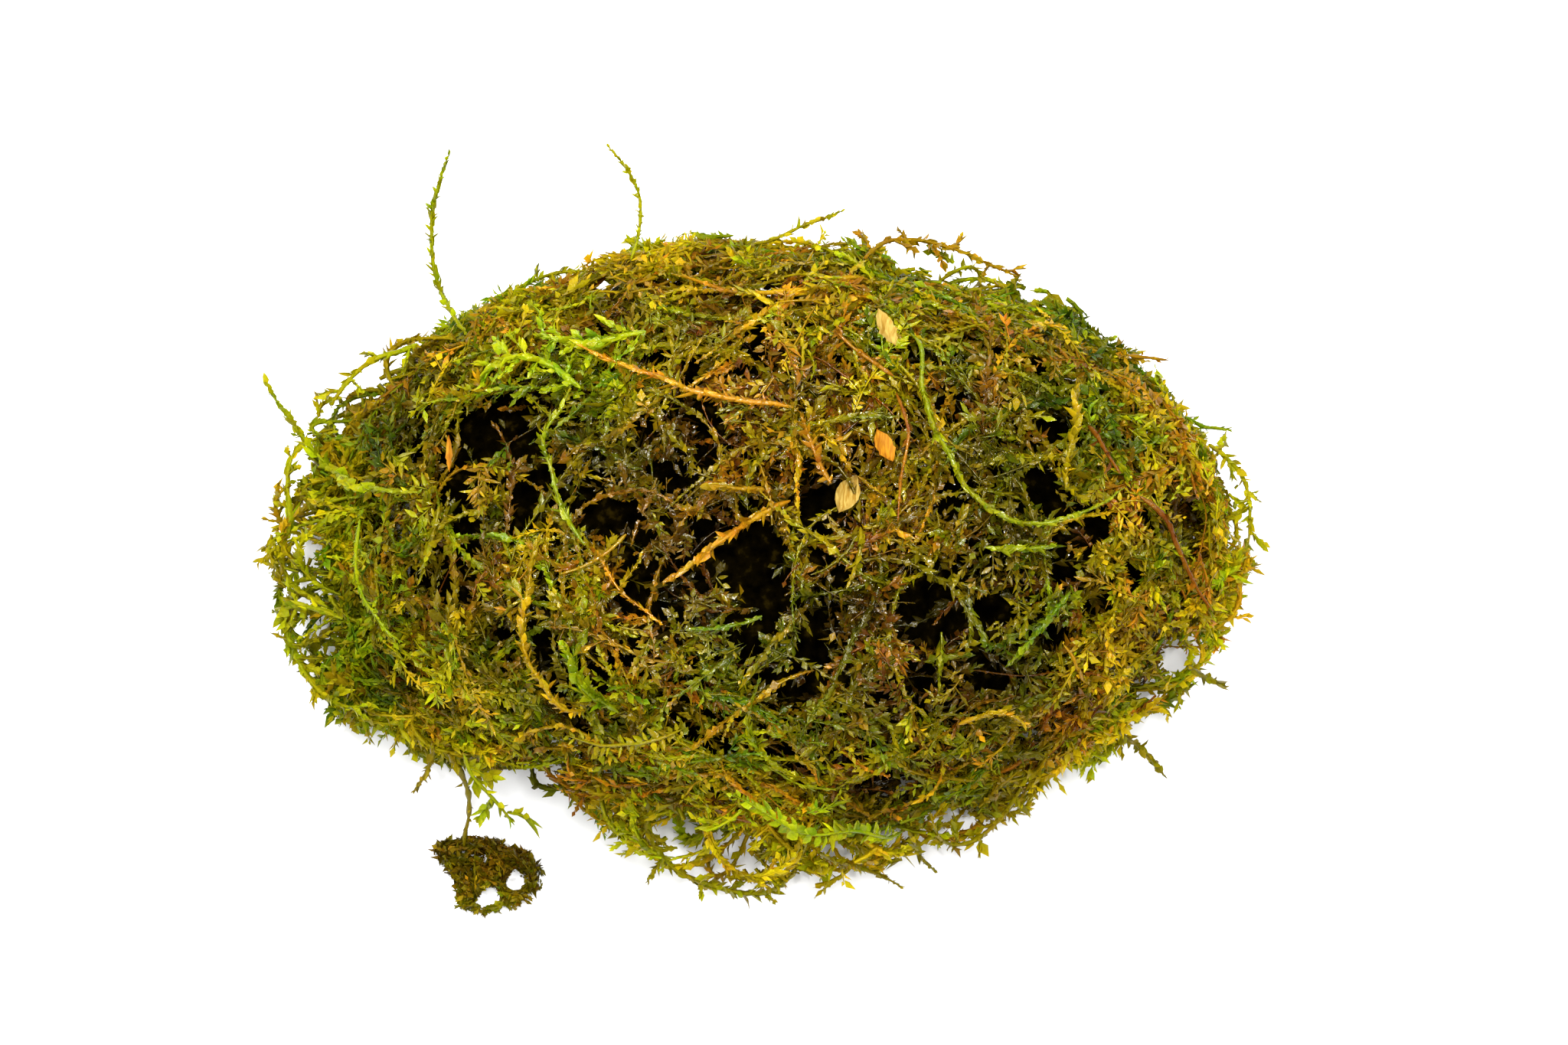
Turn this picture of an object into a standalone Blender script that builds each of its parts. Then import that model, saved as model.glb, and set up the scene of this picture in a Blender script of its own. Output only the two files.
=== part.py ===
"""A wet clump of java moss: one matted mound, the single stems that lie on it, stand up from it or
loop out of its rim, a few dead leaf flakes, and a torn tuft on a thread in front of it.

Units are metres, +Z is up, and the origin is on the flat spot that the clump rests on.
Stems are placed where an observer sees them: a route is a short list of points in a view of the
clump that is VIEW_WIDTH by VIEW_HEIGHT units, and each point is followed along its line of sight
until it meets the mound. A point whose line of sight misses the mound hangs beside it.
"""
import math
import random
from collections import namedtuple

import bmesh
import bpy
import numpy as np
from mathutils import Vector, noise
from mathutils.bvhtree import BVHTree

MM = 0.001

# The mound
MOUND_HEIGHT = 26.0 * MM
RIM_HEIGHT = 8.5 * MM
UNDERSIDE_DEPTH = 10.2 * MM
SIDE_FULLNESS = 0.72
CROWN_FULLNESS = 0.92
MOUND_SUBDIVISIONS = 5
RIM_INSET = 1.3 * MM
LUMP_HEIGHT = 1.5 * MM
LUMP_SIZE = 7.5 * MM
DIMPLE_HEIGHT = 0.7 * MM
DIMPLE_SIZE = 3.0 * MM
HOLLOW_DEPTH = 3.0 * MM
TIP_SHORT = 0.9 * MM
TIP_LONG = 2.3 * MM
TIP_SHARE = 0.85
STEM_BED = 1.5 * MM

# The stems
STEM_CORE = 0.30 * MM
STEM_STEP = 1.15 * MM
STEM_END = 0.16 * MM
LEAF_LEAN = 0.45 * MM
STEM_TWIST = 0.35
CLEARANCE = 0.36 * MM

# The torn tuft on the floor, and its thread
TUFT_THICKNESS = 2.2 * MM
TUFT_HOLE_RADIUS = 0.75 * MM

# The dead leaf flakes
FLAKE_THICKNESS = 0.35 * MM
FLAKE_CLEARANCE = 0.40 * MM
LIFT_STEP = 0.1 * MM

# The line of sight
VIEW_WIDTH = 2048
VIEW_HEIGHT = 1365
VIEW_ELEVATION = math.radians(78)
VIEW_DISTANCE = 353 * MM
VIEW_FIELD = 36 / 100
VIEW_TARGET = Vector((0.0, 1.4, 12.0)) * MM
FORWARD = Vector((0.0, math.cos(VIEW_ELEVATION), -math.sin(VIEW_ELEVATION)))
UPWARD = Vector((0.0, math.sin(VIEW_ELEVATION), math.cos(VIEW_ELEVATION)))
EYE = VIEW_TARGET - FORWARD * VIEW_DISTANCE

# The rim of the dense mound, clockwise from its left end
RIM_POINTS = (
    (428, 640), (440, 553), (492, 512), (532, 471), (573, 440), (614, 408), (666, 384), (737, 362),
    (809, 343), (870, 326), (932, 312), (1014, 315), (1085, 317), (1147, 333), (1208, 358),
    (1280, 374), (1341, 386), (1403, 410), (1475, 461), (1526, 502), (1567, 553), (1600, 600),
    (1628, 655), (1638, 717), (1622, 799), (1597, 856), (1546, 908), (1475, 960), (1403, 1010),
    (1321, 1048), (1249, 1072), (1178, 1096), (1116, 1106), (1034, 1096), (952, 1088), (870, 1074),
    (809, 1058), (737, 1037), (676, 1017), (614, 1003), (553, 966), (481, 940), (442, 880),
    (427, 809), (434, 737), (438, 690),
)

# Dark hollows in the mound: place and width in the view
HOLLOWS = (
    (830, 570, 95), (700, 620, 80), (1000, 690, 100), (1150, 640, 90), (1240, 545, 95),
    (1355, 640, 85), (1320, 760, 90), (820, 690, 70), (1090, 830, 70), (620, 700, 55),
    (900, 365, 60), (680, 520, 60), (985, 1030, 60), (1160, 1030, 60),
)

# Colours as linear red, green and blue
COLOURS = {
    "olive": (0.155, 0.115, 0.006),
    "green": (0.105, 0.165, 0.006),
    "lime": (0.420, 0.430, 0.014),
    "gold": (0.430, 0.270, 0.012),
    "orange": (0.420, 0.155, 0.012),
    "rust": (0.190, 0.045, 0.008),
    "straw": (0.500, 0.340, 0.075),
    "dark": (0.060, 0.050, 0.005),
}

# rise is how far the start, the middle and the end of a stem stand off towards the observer
Stem = namedtuple("Stem", "name colour reach rise route")
STEMS = (
    Stem("stem_wisp_back_left", "green", 0.62, (0, 3.0, 6.5), (
        (612, 440), (594, 414), (573, 387), (564, 342), (561, 296), (569, 241), (587, 200))),
    Stem("stem_wisp_back", "green", 0.45, (0, 1.5, 4.5), (
        (830, 352), (834, 322), (841, 281), (841, 256), (823, 220), (793, 190))),
    Stem("stem_wisp_left", "green", 0.78, (0.2, 0.6, 4.0), (
        (560, 648), (520, 648), (464, 628), (416, 599), (389, 564), (372, 540), (349, 501))),
    Stem("stem_spike_back", "olive", 0.70, (0, 0.8, 1.8), (
        (985, 333), (1014, 315), (1045, 297), (1076, 284), (1099, 274))),
    Stem("stem_spike_back_small", "green", 0.50, (0, 0.4, 0.8), (
        (960, 322), (934, 311), (905, 305))),
    Stem("stem_lime_shoot", "lime", 0.95, (0.4, 1.2, 0.3), (
        (642, 497), (671, 475), (696, 462), (722, 474), (745, 498), (768, 515))),
    Stem("stem_lime_twig", "lime", 0.85, (1.5, 1.0, 0.5), (
        (708, 446), (745, 452), (780, 458), (815, 446), (848, 440))),
    Stem("stem_green_upright_left", "green", 0.75, (0.2, 1.4, 0.5), (
        (753, 519), (738, 548), (724, 585), (730, 632), (747, 670), (767, 712))),
    Stem("stem_orange_long", "orange", 0.62, (0.3, 1.4, 0.4), (
        (768, 470), (821, 485), (872, 499), (923, 516), (975, 529), (1036, 534))),
    Stem("stem_brown_short", "orange", 0.62, (0.3, 0.8, 0.3), (
        (1044, 548), (1056, 575), (1068, 606), (1080, 640))),
    Stem("stem_gold_twisted", "gold", 0.75, (0.9, 1.6, 0.4), (
        (866, 761), (898, 741), (930, 719), (958, 695), (990, 672), (1032, 655))),
    Stem("stem_gold_short", "gold", 0.55, (0.5, 1.0, 0.4), (
        (926, 635), (960, 641), (1000, 640))),
    Stem("stem_rust_upright", "rust", 0.50, (0.3, 1.0, 0.3), (
        (1171, 512), (1178, 559), (1177, 600), (1170, 642), (1163, 684))),
    Stem("stem_gold_hanging", "gold", 0.60, (0.3, 0.9, 0.4), (
        (1120, 690), (1126, 716), (1118, 740), (1108, 762))),
    Stem("stem_brown_thin", "orange", 0.48, (0.4, 0.9, 0.3), (
        (733, 750), (770, 744), (797, 722), (822, 700))),
    Stem("stem_orange_slant", "orange", 0.60, (0.3, 0.9, 0.3), (
        (1090, 442), (1115, 467), (1140, 489), (1162, 498))),
    Stem("stem_green_loop", "green", 0.72, (0.3, 1.5, 0.4), (
        (1192, 436), (1196, 480), (1204, 530), (1218, 578), (1244, 626), (1285, 668), (1336, 690),
        (1385, 682), (1422, 662), (1462, 640))),
    Stem("stem_green_loop_low", "green", 0.62, (0.3, 0.7, 0.3), (
        (1278, 716), (1322, 720), (1368, 712))),
    Stem("stem_rust_right", "rust", 0.50, (0.3, 1.1, 0.3), (
        (1482, 650), (1508, 674), (1531, 703), (1553, 754), (1571, 796))),
    Stem("stem_rust_right_short", "rust", 0.55, (0.3, 0.9, 0.3), (
        (1420, 555), (1435, 588), (1446, 625))),
    Stem("stem_yellow_upright", "gold", 0.58, (0.3, 1.0, 0.3), (
        (1405, 500), (1393, 543), (1385, 590), (1381, 640))),
    Stem("stem_gold_upright_left", "gold", 0.75, (0.4, 1.3, 0.4), (
        (712, 700), (699, 728), (690, 774), (684, 831), (695, 868), (724, 895), (764, 925))),
    Stem("stem_green_fern_left", "lime", 0.85, (0.4, 1.3, 0.4), (
        (484, 680), (472, 714), (478, 748), (492, 790), (512, 818), (540, 836))),
    Stem("stem_olive_fork_left", "olive", 0.75, (0.4, 1.1, 0.3), (
        (579, 662), (575, 684), (566, 720), (561, 756))),
    Stem("stem_lime_low_left", "lime", 0.80, (0.4, 1.2, 0.4), (
        (738, 840), (759, 872), (785, 896), (810, 928))),
    Stem("stem_olive_low", "olive", 0.75, (0.3, 0.8, 0.3), (
        (745, 958), (798, 966), (845, 960), (892, 946))),
    Stem("stem_green_middle", "green", 0.60, (0.3, 0.9, 0.3), (
        (905, 822), (938, 824), (968, 816), (996, 803))),
    Stem("stem_green_right", "green", 0.70, (0.3, 1.2, 0.4), (
        (1392, 774), (1366, 805), (1340, 837), (1310, 864))),
    Stem("stem_orange_right", "orange", 0.60, (0.3, 0.8, 0.3), (
        (1378, 838), (1393, 862), (1412, 888))),
    Stem("stem_orange_arch", "orange", 0.60, (0.2, 2.2, 1.2), (
        (1250, 944), (1276, 929), (1306, 922), (1331, 929), (1342, 948))),
    Stem("stem_lime_front", "lime", 0.95, (0.3, 1.6, 0.5), (
        (960, 1022), (984, 1040), (1010, 1053), (1048, 1060), (1090, 1062), (1130, 1062), (1176, 1079))),
    Stem("stem_feather_front", "green", 0.90, (0, -0.6, -1.6), (
        (618, 978), (642, 1030), (655, 1052), (672, 1078))),
    Stem("stem_spike_front_left", "dark", 0.62, (0, -1.0, -2.5), (
        (576, 962), (570, 990), (564, 1010), (540, 1034))),
    Stem("stem_loop_front", "dark", 0.72, (0, -4.2, -0.5), (
        (852, 1026), (844, 1098), (885, 1141), (936, 1160), (990, 1172), (1030, 1160), (1054, 1066))),
    Stem("stem_spike_front", "dark", 0.50, (-0.5, -2.0, -3.5), (
        (1066, 1086), (1092, 1112), (1128, 1130), (1176, 1158))),
    Stem("stem_spike_front_right", "dark", 0.60, (0, -1.0, -1.6), (
        (1176, 1062), (1188, 1104), (1202, 1126), (1222, 1138))),
    Stem("stem_loop_front_right", "olive", 0.65, (0, -3.0, 0), (
        (1206, 1046), (1226, 1106), (1258, 1108), (1300, 1086), (1322, 1016))),
    Stem("stem_hook_right", "dark", 0.65, (0, -1.4, -2.6), (
        (1436, 944), (1474, 962), (1499, 980), (1510, 998), (1520, 1013))),
    Stem("stem_spike_right", "dark", 0.60, (0, -0.8, -1.4), (
        (1530, 862), (1568, 884), (1600, 899))),
    Stem("stem_twig_right", "green", 0.55, (0, 1.0, 2.2), (
        (1530, 550), (1554, 559), (1582, 564), (1610, 562))),
    Stem("stem_loop_right", "olive", 0.60, (0, 1.2, 0), (
        (1572, 582), (1600, 590), (1618, 606), (1631, 636), (1641, 668), (1604, 708))),
    Stem("stem_spike_back_right", "olive", 0.55, (0, 0.8, 1.6), (
        (1462, 470), (1480, 477), (1502, 480), (1525, 469))),
    Stem("stem_loop_back_right", "orange", 0.70, (0, -0.5, 0), (
        (1128, 346), (1150, 322), (1190, 308), (1236, 320), (1276, 344), (1306, 386))),
    Stem("stem_loop_left", "olive", 0.75, (0, -1.5, 0), (
        (462, 540), (447, 508), (452, 486), (488, 466), (526, 462), (566, 462))),
    Stem("stem_loop_left_middle", "olive", 0.75, (0, -3.0, 0), (
        (444, 570), (396, 574), (370, 590), (374, 640), (386, 680), (368, 716), (362, 760), (440, 792))),
    Stem("stem_loop_left_low", "dark", 0.75, (0, -3.4, 0), (
        (466, 806), (384, 786), (348, 797), (378, 826), (392, 868), (414, 912), (508, 914))),
)

# The torn tuft, its two holes, and the thread that holds it
TUFT_POINTS = (
    (550, 1096), (572, 1097), (594, 1085), (620, 1090), (640, 1087), (668, 1102), (684, 1104),
    (703, 1121), (717, 1138), (706, 1146), (715, 1165), (693, 1171), (690, 1188), (655, 1183),
    (640, 1194), (623, 1197), (606, 1187), (589, 1191), (592, 1158), (580, 1144), (574, 1124),
)
TUFT_HOLES = ((675, 1150), (640, 1172))
THREAD_ROUTE = ((596, 976), (600, 1004), (614, 1030), (622, 1052), (615, 1072), (606, 1090))
THREAD_REACH = 0.42

# Dead leaf flakes: place in the view, length, width and heading in the view
Flake = namedtuple("Flake", "name place length width heading")
FLAKES = (
    Flake("flake_straw_back", (1150, 448), 3.4, 1.5, 112),
    Flake("flake_straw_middle", (1104, 650), 3.4, 2.4, 82),
    Flake("flake_orange_middle", (1150, 590), 2.8, 1.2, 118),
    Flake("flake_yellow_left", (596, 596), 3.0, 0.9, 96),
)


def clear_scene():
    for thing in list(bpy.data.objects):
        bpy.data.objects.remove(thing, do_unlink=True)


def material(name):
    found = bpy.data.materials.get(name)
    if found:
        return found
    made = bpy.data.materials.new(name)
    made.use_nodes = True
    shader = made.node_tree.nodes["Principled BSDF"]
    shader.inputs["Base Color"].default_value = (*COLOURS[name], 1.0)
    shader.inputs["Roughness"].default_value = 0.42
    shader.inputs["Metallic"].default_value = 0.0
    return made


def add_object(name, mesh_builder, colour):
    """Turn a bmesh into a named object with outward faces and its own material."""
    bmesh.ops.recalc_face_normals(mesh_builder, faces=mesh_builder.faces)
    mesh = bpy.data.meshes.new(name)
    mesh_builder.to_mesh(mesh)
    mesh_builder.free()
    mesh.materials.append(material(colour))
    made = bpy.data.objects.new(name, mesh)
    bpy.context.scene.collection.objects.link(made)
    return made


def sight(point):
    """Direction from the eye through a point of the view, one unit long along the view axis."""
    across = (point[0] - VIEW_WIDTH / 2) / VIEW_WIDTH * VIEW_FIELD
    up = (VIEW_HEIGHT / 2 - point[1]) / VIEW_WIDTH * VIEW_FIELD
    return FORWARD + Vector((1, 0, 0)) * across + UPWARD * up


def at_height(point, height):
    """Where the line of sight through a point of the view meets a level plane."""
    ray = sight(point)
    return EYE + ray * ((height - EYE.z) / ray.z)


def smooth_route(points, spacing):
    """Points about `spacing` apart on a Catmull-Rom curve through the given points."""
    knots = [np.array(p, dtype=float) for p in points]
    knots = [2 * knots[0] - knots[1]] + knots + [2 * knots[-1] - knots[-2]]
    made = []
    for a, b, c, d in zip(knots, knots[1:], knots[2:], knots[3:]):
        steps = max(2, int(math.ceil(np.linalg.norm(c - b) / spacing * 4)))
        for t in np.linspace(0, 1, steps, endpoint=False):
            made.append(0.5 * (2 * b + (c - a) * t + (2 * a - 5 * b + 4 * c - d) * t ** 2
                               + (3 * b - a - 3 * c + d) * t ** 3))
    made.append(knots[-2])
    made = np.array(made)
    run = np.concatenate([[0], np.cumsum(np.linalg.norm(np.diff(made, axis=0), axis=1))])
    count = max(4, int(round(run[-1] / spacing)) + 1)
    wanted = np.linspace(0, run[-1], count)
    return np.stack([np.interp(wanted, run, made[:, k]) for k in range(made.shape[1])], axis=1)


class Mound:
    """The dense mound: every point is on a ray from its heart, so its surface never folds."""

    def __init__(self):
        rim = [at_height(p, RIM_HEIGHT) for p in RIM_POINTS]
        angles = np.array([math.atan2(p.y, p.x) for p in rim])
        radii = np.array([math.hypot(p.x, p.y) for p in rim])
        order = np.argsort(angles)
        self.angles = angles[order]
        self.radii = radii[order] - RIM_INSET
        self.heart = Vector((0, 0, RIM_HEIGHT))
        ball = bmesh.new()
        bmesh.ops.create_icosphere(ball, subdivisions=MOUND_SUBDIVISIONS, radius=1)
        ball.verts.ensure_lookup_table()
        self.directions = [v.co.normalized() for v in ball.verts]
        self.faces = [tuple(v.index for v in f.verts) for f in ball.faces]
        self.neighbours = [[e.other_vert(v).index for e in v.link_edges] for v in ball.verts]
        ball.free()
        self.points = [self.base_point(d) for d in self.directions]
        self.press_hollows()

    def rim_radius(self, angle):
        return float(np.interp(angle, self.angles, self.radii, period=2 * math.pi))

    def base_point(self, direction):
        """The lumpy mound, before its hollows and tips, in one direction of the ball."""
        level = math.sqrt(max(0.0, 1 - direction.z ** 2))
        angle = math.atan2(direction.y, direction.x)
        spread = self.rim_radius(angle) * level ** SIDE_FULLNESS
        if direction.z >= 0:
            height = (MOUND_HEIGHT - RIM_HEIGHT) * direction.z ** CROWN_FULLNESS
        else:
            height = -UNDERSIDE_DEPTH * (-direction.z) ** CROWN_FULLNESS
        offset = Vector((math.cos(angle) * spread, math.sin(angle) * spread, height))
        lump = noise.noise(offset / LUMP_SIZE) * LUMP_HEIGHT * 1.6
        lump += noise.noise(offset / DIMPLE_SIZE + Vector((7, 3, 1))) * DIMPLE_HEIGHT * 1.6
        return self.on_floor(offset * (1 + lump / offset.length))

    def on_floor(self, offset):
        """Shorten a ray from the heart so that it ends on the floor and not under it."""
        if offset.z < -RIM_HEIGHT:
            offset = offset * (RIM_HEIGHT / -offset.z)
        return self.heart + offset

    def move(self, index, distance):
        """Move one point out along its ray from the heart, or in where distance is negative."""
        offset = self.points[index] - self.heart
        self.points[index] = self.on_floor(offset * (1 + distance / offset.length))

    def press_hollows(self):
        finder = self.tree()
        for across, down, width in HOLLOWS:
            ray = sight((across, down))
            place = finder.ray_cast(EYE, ray.normalized())[0]
            radius = width / VIEW_WIDTH * VIEW_FIELD * VIEW_DISTANCE / 2
            for index, point in enumerate(self.points):
                nearness = 1 - ((point - place).length / (radius * 1.5)) ** 2
                if nearness > 0:
                    self.move(index, -HOLLOW_DEPTH * nearness)

    def tree(self):
        return BVHTree.FromPolygons(self.points, self.faces)

    def raise_tips(self, beds):
        """Pull single points out into shoot tips, but not where a stem is bedded."""
        chance = random.Random(11)
        beds = np.array(beds)
        order = list(range(len(self.points)))
        chance.shuffle(order)
        taken = set()
        for index in order:
            wanted = chance.random() < TIP_SHARE
            length = chance.uniform(TIP_SHORT, TIP_LONG)
            if not wanted or taken.intersection(self.neighbours[index]):
                continue
            point = self.points[index]
            if self.directions[index].z < -0.35:
                continue
            if np.min(np.linalg.norm(beds - np.array(point), axis=1)) < STEM_BED:
                continue
            self.move(index, length)
            taken.add(index)

    def build(self):
        shape = bmesh.new()
        corners = [shape.verts.new(p) for p in self.points]
        for face in self.faces:
            shape.faces.new([corners[i] for i in face])
        resting = [f for f in shape.faces if max(v.co.z for v in f.verts) < 1e-7]
        for face in resting:
            for corner in face.verts:
                corner.co.z = 0.0
        bmesh.ops.dissolve_faces(shape, faces=resting)
        return add_object("moss_mound", shape, "olive")


def lay_route(stem_route, rise, finder, spacing):
    """Follow a route in the view onto the mound; what misses the mound hangs level beside it."""
    unit = VIEW_FIELD * VIEW_DISTANCE / VIEW_WIDTH
    drawn = smooth_route(stem_route, spacing / unit)
    depths = []
    for point in drawn:
        ray = sight(point)
        hit = finder.ray_cast(EYE, ray.normalized())[0]
        depths.append((hit - EYE).dot(FORWARD) if hit else math.nan)
    depths = np.array(depths)
    known = ~np.isnan(depths)
    places = np.arange(len(drawn))
    depths = np.interp(places, places[known], depths[known])
    depths = np.convolve(np.pad(depths, 2, mode="edge"), np.ones(5) / 5, mode="valid")
    along = np.linspace(0, 1, len(drawn))
    depths = depths - np.interp(along, (0, 0.5, 1), rise) * MM
    return [EYE + sight(p) * d for p, d in zip(drawn, depths)]


def settle(points, reach, finder, others):
    """Lift points until they clear the mound and the stems laid before them."""
    heart = Vector((0, 0, RIM_HEIGHT * 0.6))
    placed = [Vector(p) for p in points]
    last = len(placed) - 1
    for _ in range(14):
        for index, point in enumerate(placed):
            end = min(index, last - index)
            half = reach * (0.45 + 0.55 * min(1, end / 2))
            away = (point - heart).normalized()
            near, normal, _, distance = finder.find_nearest(point)
            if (point - near).dot(away) < 0 and (point - near).dot(normal) < 0:
                distance = -distance
            lack = half + CLEARANCE - distance
            if lack > 0:
                point += away * min(lack, 0.4 * MM) * 1.02
            for other, other_half in others:
                gap = np.min(np.linalg.norm(other - np.array(point), axis=1))
                lack = half + other_half + CLEARANCE - gap
                if lack > 0:
                    point += (away * 0.4 + Vector((0, 0, 0.6))) * min(lack, 0.4 * MM)
            point.z = max(point.z, reach + 0.1 * MM)
        for index in range(1, last):
            middle = (placed[index - 1] + placed[index + 1]) / 2
            placed[index] = placed[index].lerp(middle, 0.18)
    return placed


def dense(points):
    """A stem's points with two more between each pair, for measuring how near another one is."""
    array = np.array([tuple(p) for p in points])
    marks = np.linspace(0, len(array) - 1, 3 * len(array) - 2)
    return np.stack([np.interp(marks, np.arange(len(array)), array[:, k]) for k in range(3)], axis=1)


def build_stem(name, colour, reach, points, twist_start):
    """A three-sided stem whose every second ring throws a leaf forward on alternate sides."""
    shape = bmesh.new()
    rings = []
    last = len(points) - 1
    side = Vector((0, 0, 1))
    for index, point in enumerate(points):
        ahead = (points[min(last, index + 1)] - points[max(0, index - 1)]).normalized()
        side = (side - ahead * side.dot(ahead)).normalized()
        other = ahead.cross(side)
        end = min(index, last - index)
        core = STEM_END if end == 0 else STEM_CORE
        leaf = index % 2 == 1 and end > 0
        corner = (index // 2) % 3
        ring = []
        for k in range(3):
            angle = twist_start + index * STEM_TWIST + k * 2 * math.pi / 3
            outward = side * math.cos(angle) + other * math.sin(angle)
            if leaf and k == corner:
                ring.append(shape.verts.new(point + outward * reach + ahead * LEAF_LEAN))
            else:
                ring.append(shape.verts.new(point + outward * core))
        rings.append(ring)
    for low, high in zip(rings, rings[1:]):
        for k in range(3):
            shape.faces.new((low[k], low[(k + 1) % 3], high[(k + 1) % 3], high[k]))
    shape.faces.new(rings[0])
    shape.faces.new(rings[-1])
    bmesh.ops.triangulate(shape, faces=shape.faces)
    return add_object(name, shape, colour)


def build_tuft():
    """The torn tuft: a ragged slab with a humped top, cut through by its two holes."""
    rim = [at_height(p, TUFT_THICKNESS / 2) for p in TUFT_POINTS]
    middle = sum(rim, Vector()) / len(rim)
    shape = bmesh.new()
    layers = ((0.0, 0.86), (TUFT_THICKNESS * 0.4, 1.0), (TUFT_THICKNESS, 0.66))
    rings = []
    for height, share in layers:
        ring = []
        for point in rim:
            flat = middle.lerp(point, share)
            ring.append(shape.verts.new((flat.x, flat.y, height)))
        rings.append(ring)
    count = len(rim)
    for low, high in zip(rings, rings[1:]):
        for k in range(count):
            shape.faces.new((low[k], low[(k + 1) % count], high[(k + 1) % count], high[k]))
    shape.faces.new(rings[0])
    shape.faces.new(rings[-1])
    bmesh.ops.triangulate(shape, faces=[f for f in shape.faces if len(f.verts) > 4])
    tuft = add_object("tuft", shape, "dark")
    for index, place in enumerate(TUFT_HOLES):
        centre = at_height(place, TUFT_THICKNESS / 2)
        drill = bmesh.new()
        bmesh.ops.create_cone(drill, segments=7, radius1=TUFT_HOLE_RADIUS, radius2=TUFT_HOLE_RADIUS * 1.3,
                              depth=3 * TUFT_THICKNESS, cap_ends=True)
        bmesh.ops.translate(drill, verts=drill.verts, vec=(centre.x, centre.y, TUFT_THICKNESS / 2))
        cutter = add_object(f"tuft_hole_cutter_{index + 1}", drill, "dark")
        cutter.hide_render = True
        cutter.display_type = "WIRE"
        cut = tuft.modifiers.new(f"hole {index + 1}", "BOOLEAN")
        cut.operation = "DIFFERENCE"
        cut.solver = "EXACT"
        cut.object = cutter
    return tuft


def lift_to_clear(points, away, finder):
    """How far a set of points moves out until every one of them clears the mound."""
    lift = 0.0
    blocked = True
    while blocked:
        lift += LIFT_STEP
        blocked = False
        for point in points:
            lifted = point + away * lift
            near, normal, _, distance = finder.find_nearest(lifted)
            if distance < FLAKE_CLEARANCE or (lifted - near).dot(normal) < 0:
                blocked = True
    return lift


def build_flake(flake, finder):
    """A dead leaf: a thin pointed plate, bent along its midrib. Returns where its middle lies."""
    ray = sight(flake.place)
    place = finder.ray_cast(EYE, ray.normalized())[0]
    away = (place - Vector((0, 0, -20 * MM))).normalized()
    heading = math.radians(flake.heading)
    along = Vector((math.cos(heading), math.sin(heading), 0))
    along = (along - away * along.dot(away)).normalized()
    across = away.cross(along)
    length = flake.length * MM
    width = flake.width * MM
    outline = ((-0.5, 0.0), (-0.2, 0.42), (0.15, 0.5), (0.5, 0.0), (0.15, -0.5), (-0.2, -0.42))
    corners = []
    for u, v in outline:
        lift = -0.25 * abs(v) * width
        corners.append(place + along * u * length + across * v * width + away * lift)
    probes = corners + [corner.lerp(place, 0.5) for corner in corners] + [place]
    lack = lift_to_clear(probes, away, finder)
    shape = bmesh.new()
    lower = [shape.verts.new(c + away * lack) for c in corners]
    upper = [shape.verts.new(c + away * (lack + FLAKE_THICKNESS)) for c in corners]
    count = len(corners)
    for k in range(count):
        shape.faces.new((lower[k], lower[(k + 1) % count], upper[(k + 1) % count], upper[k]))
    shape.faces.new(lower)
    shape.faces.new(upper)
    bmesh.ops.triangulate(shape, faces=[f for f in shape.faces if len(f.verts) > 4])
    add_object(flake.name, shape, "straw")
    return place + away * lack


def drop_thread(points):
    """Let the thread sink along its lines of sight until its far end is just above the tuft."""
    floor_end = at_height(THREAD_ROUTE[-1], TUFT_THICKNESS + CLEARANCE + THREAD_REACH * MM)
    fall = (floor_end - points[-1]).dot(FORWARD)
    last = len(points) - 1
    return [point + (point - EYE).normalized() * fall * index / last for index, point in enumerate(points)]


def main():
    clear_scene()
    mound = Mound()
    finder = mound.tree()
    beds = []
    for stem in STEMS:
        beds.extend(tuple(p) for p in lay_route(stem.route, (0, 0, 0), finder, STEM_STEP))
    beds.extend(tuple(finder.ray_cast(EYE, sight(f.place).normalized())[0]) for f in FLAKES)
    mound.raise_tips(beds)
    mound.build()
    finder = mound.tree()
    others = []
    for flake in FLAKES:
        centre = build_flake(flake, finder)
        others.append((np.array([tuple(centre)]), flake.length * MM * 0.5))
    for index, stem in enumerate(STEMS):
        reach = stem.reach * MM
        points = lay_route(stem.route, stem.rise, finder, STEM_STEP)
        points = settle(points, reach, finder, others)
        build_stem(stem.name, stem.colour, reach, points, index * 0.7)
        others.append((dense(points), reach))
    build_tuft()
    thread = drop_thread(lay_route(THREAD_ROUTE, (0, 0, 0), finder, STEM_STEP))
    thread = settle(thread, THREAD_REACH * MM, finder, others)
    build_stem("thread", "dark", THREAD_REACH * MM, thread, 0.3)


main()
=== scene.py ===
"""The look of a wet clump of java moss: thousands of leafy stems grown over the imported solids.

Every shoot is a path of points with leaves set along it, and all of them are made as joined meshes
from arrays. Units are metres, +Z is up. Places named by two numbers are points of the 2048 by 1365
view that the camera sees.
"""
import math
from collections import namedtuple

import bmesh
import bpy
import numpy as np
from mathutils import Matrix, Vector
from mathutils.bvhtree import BVHTree


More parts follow.
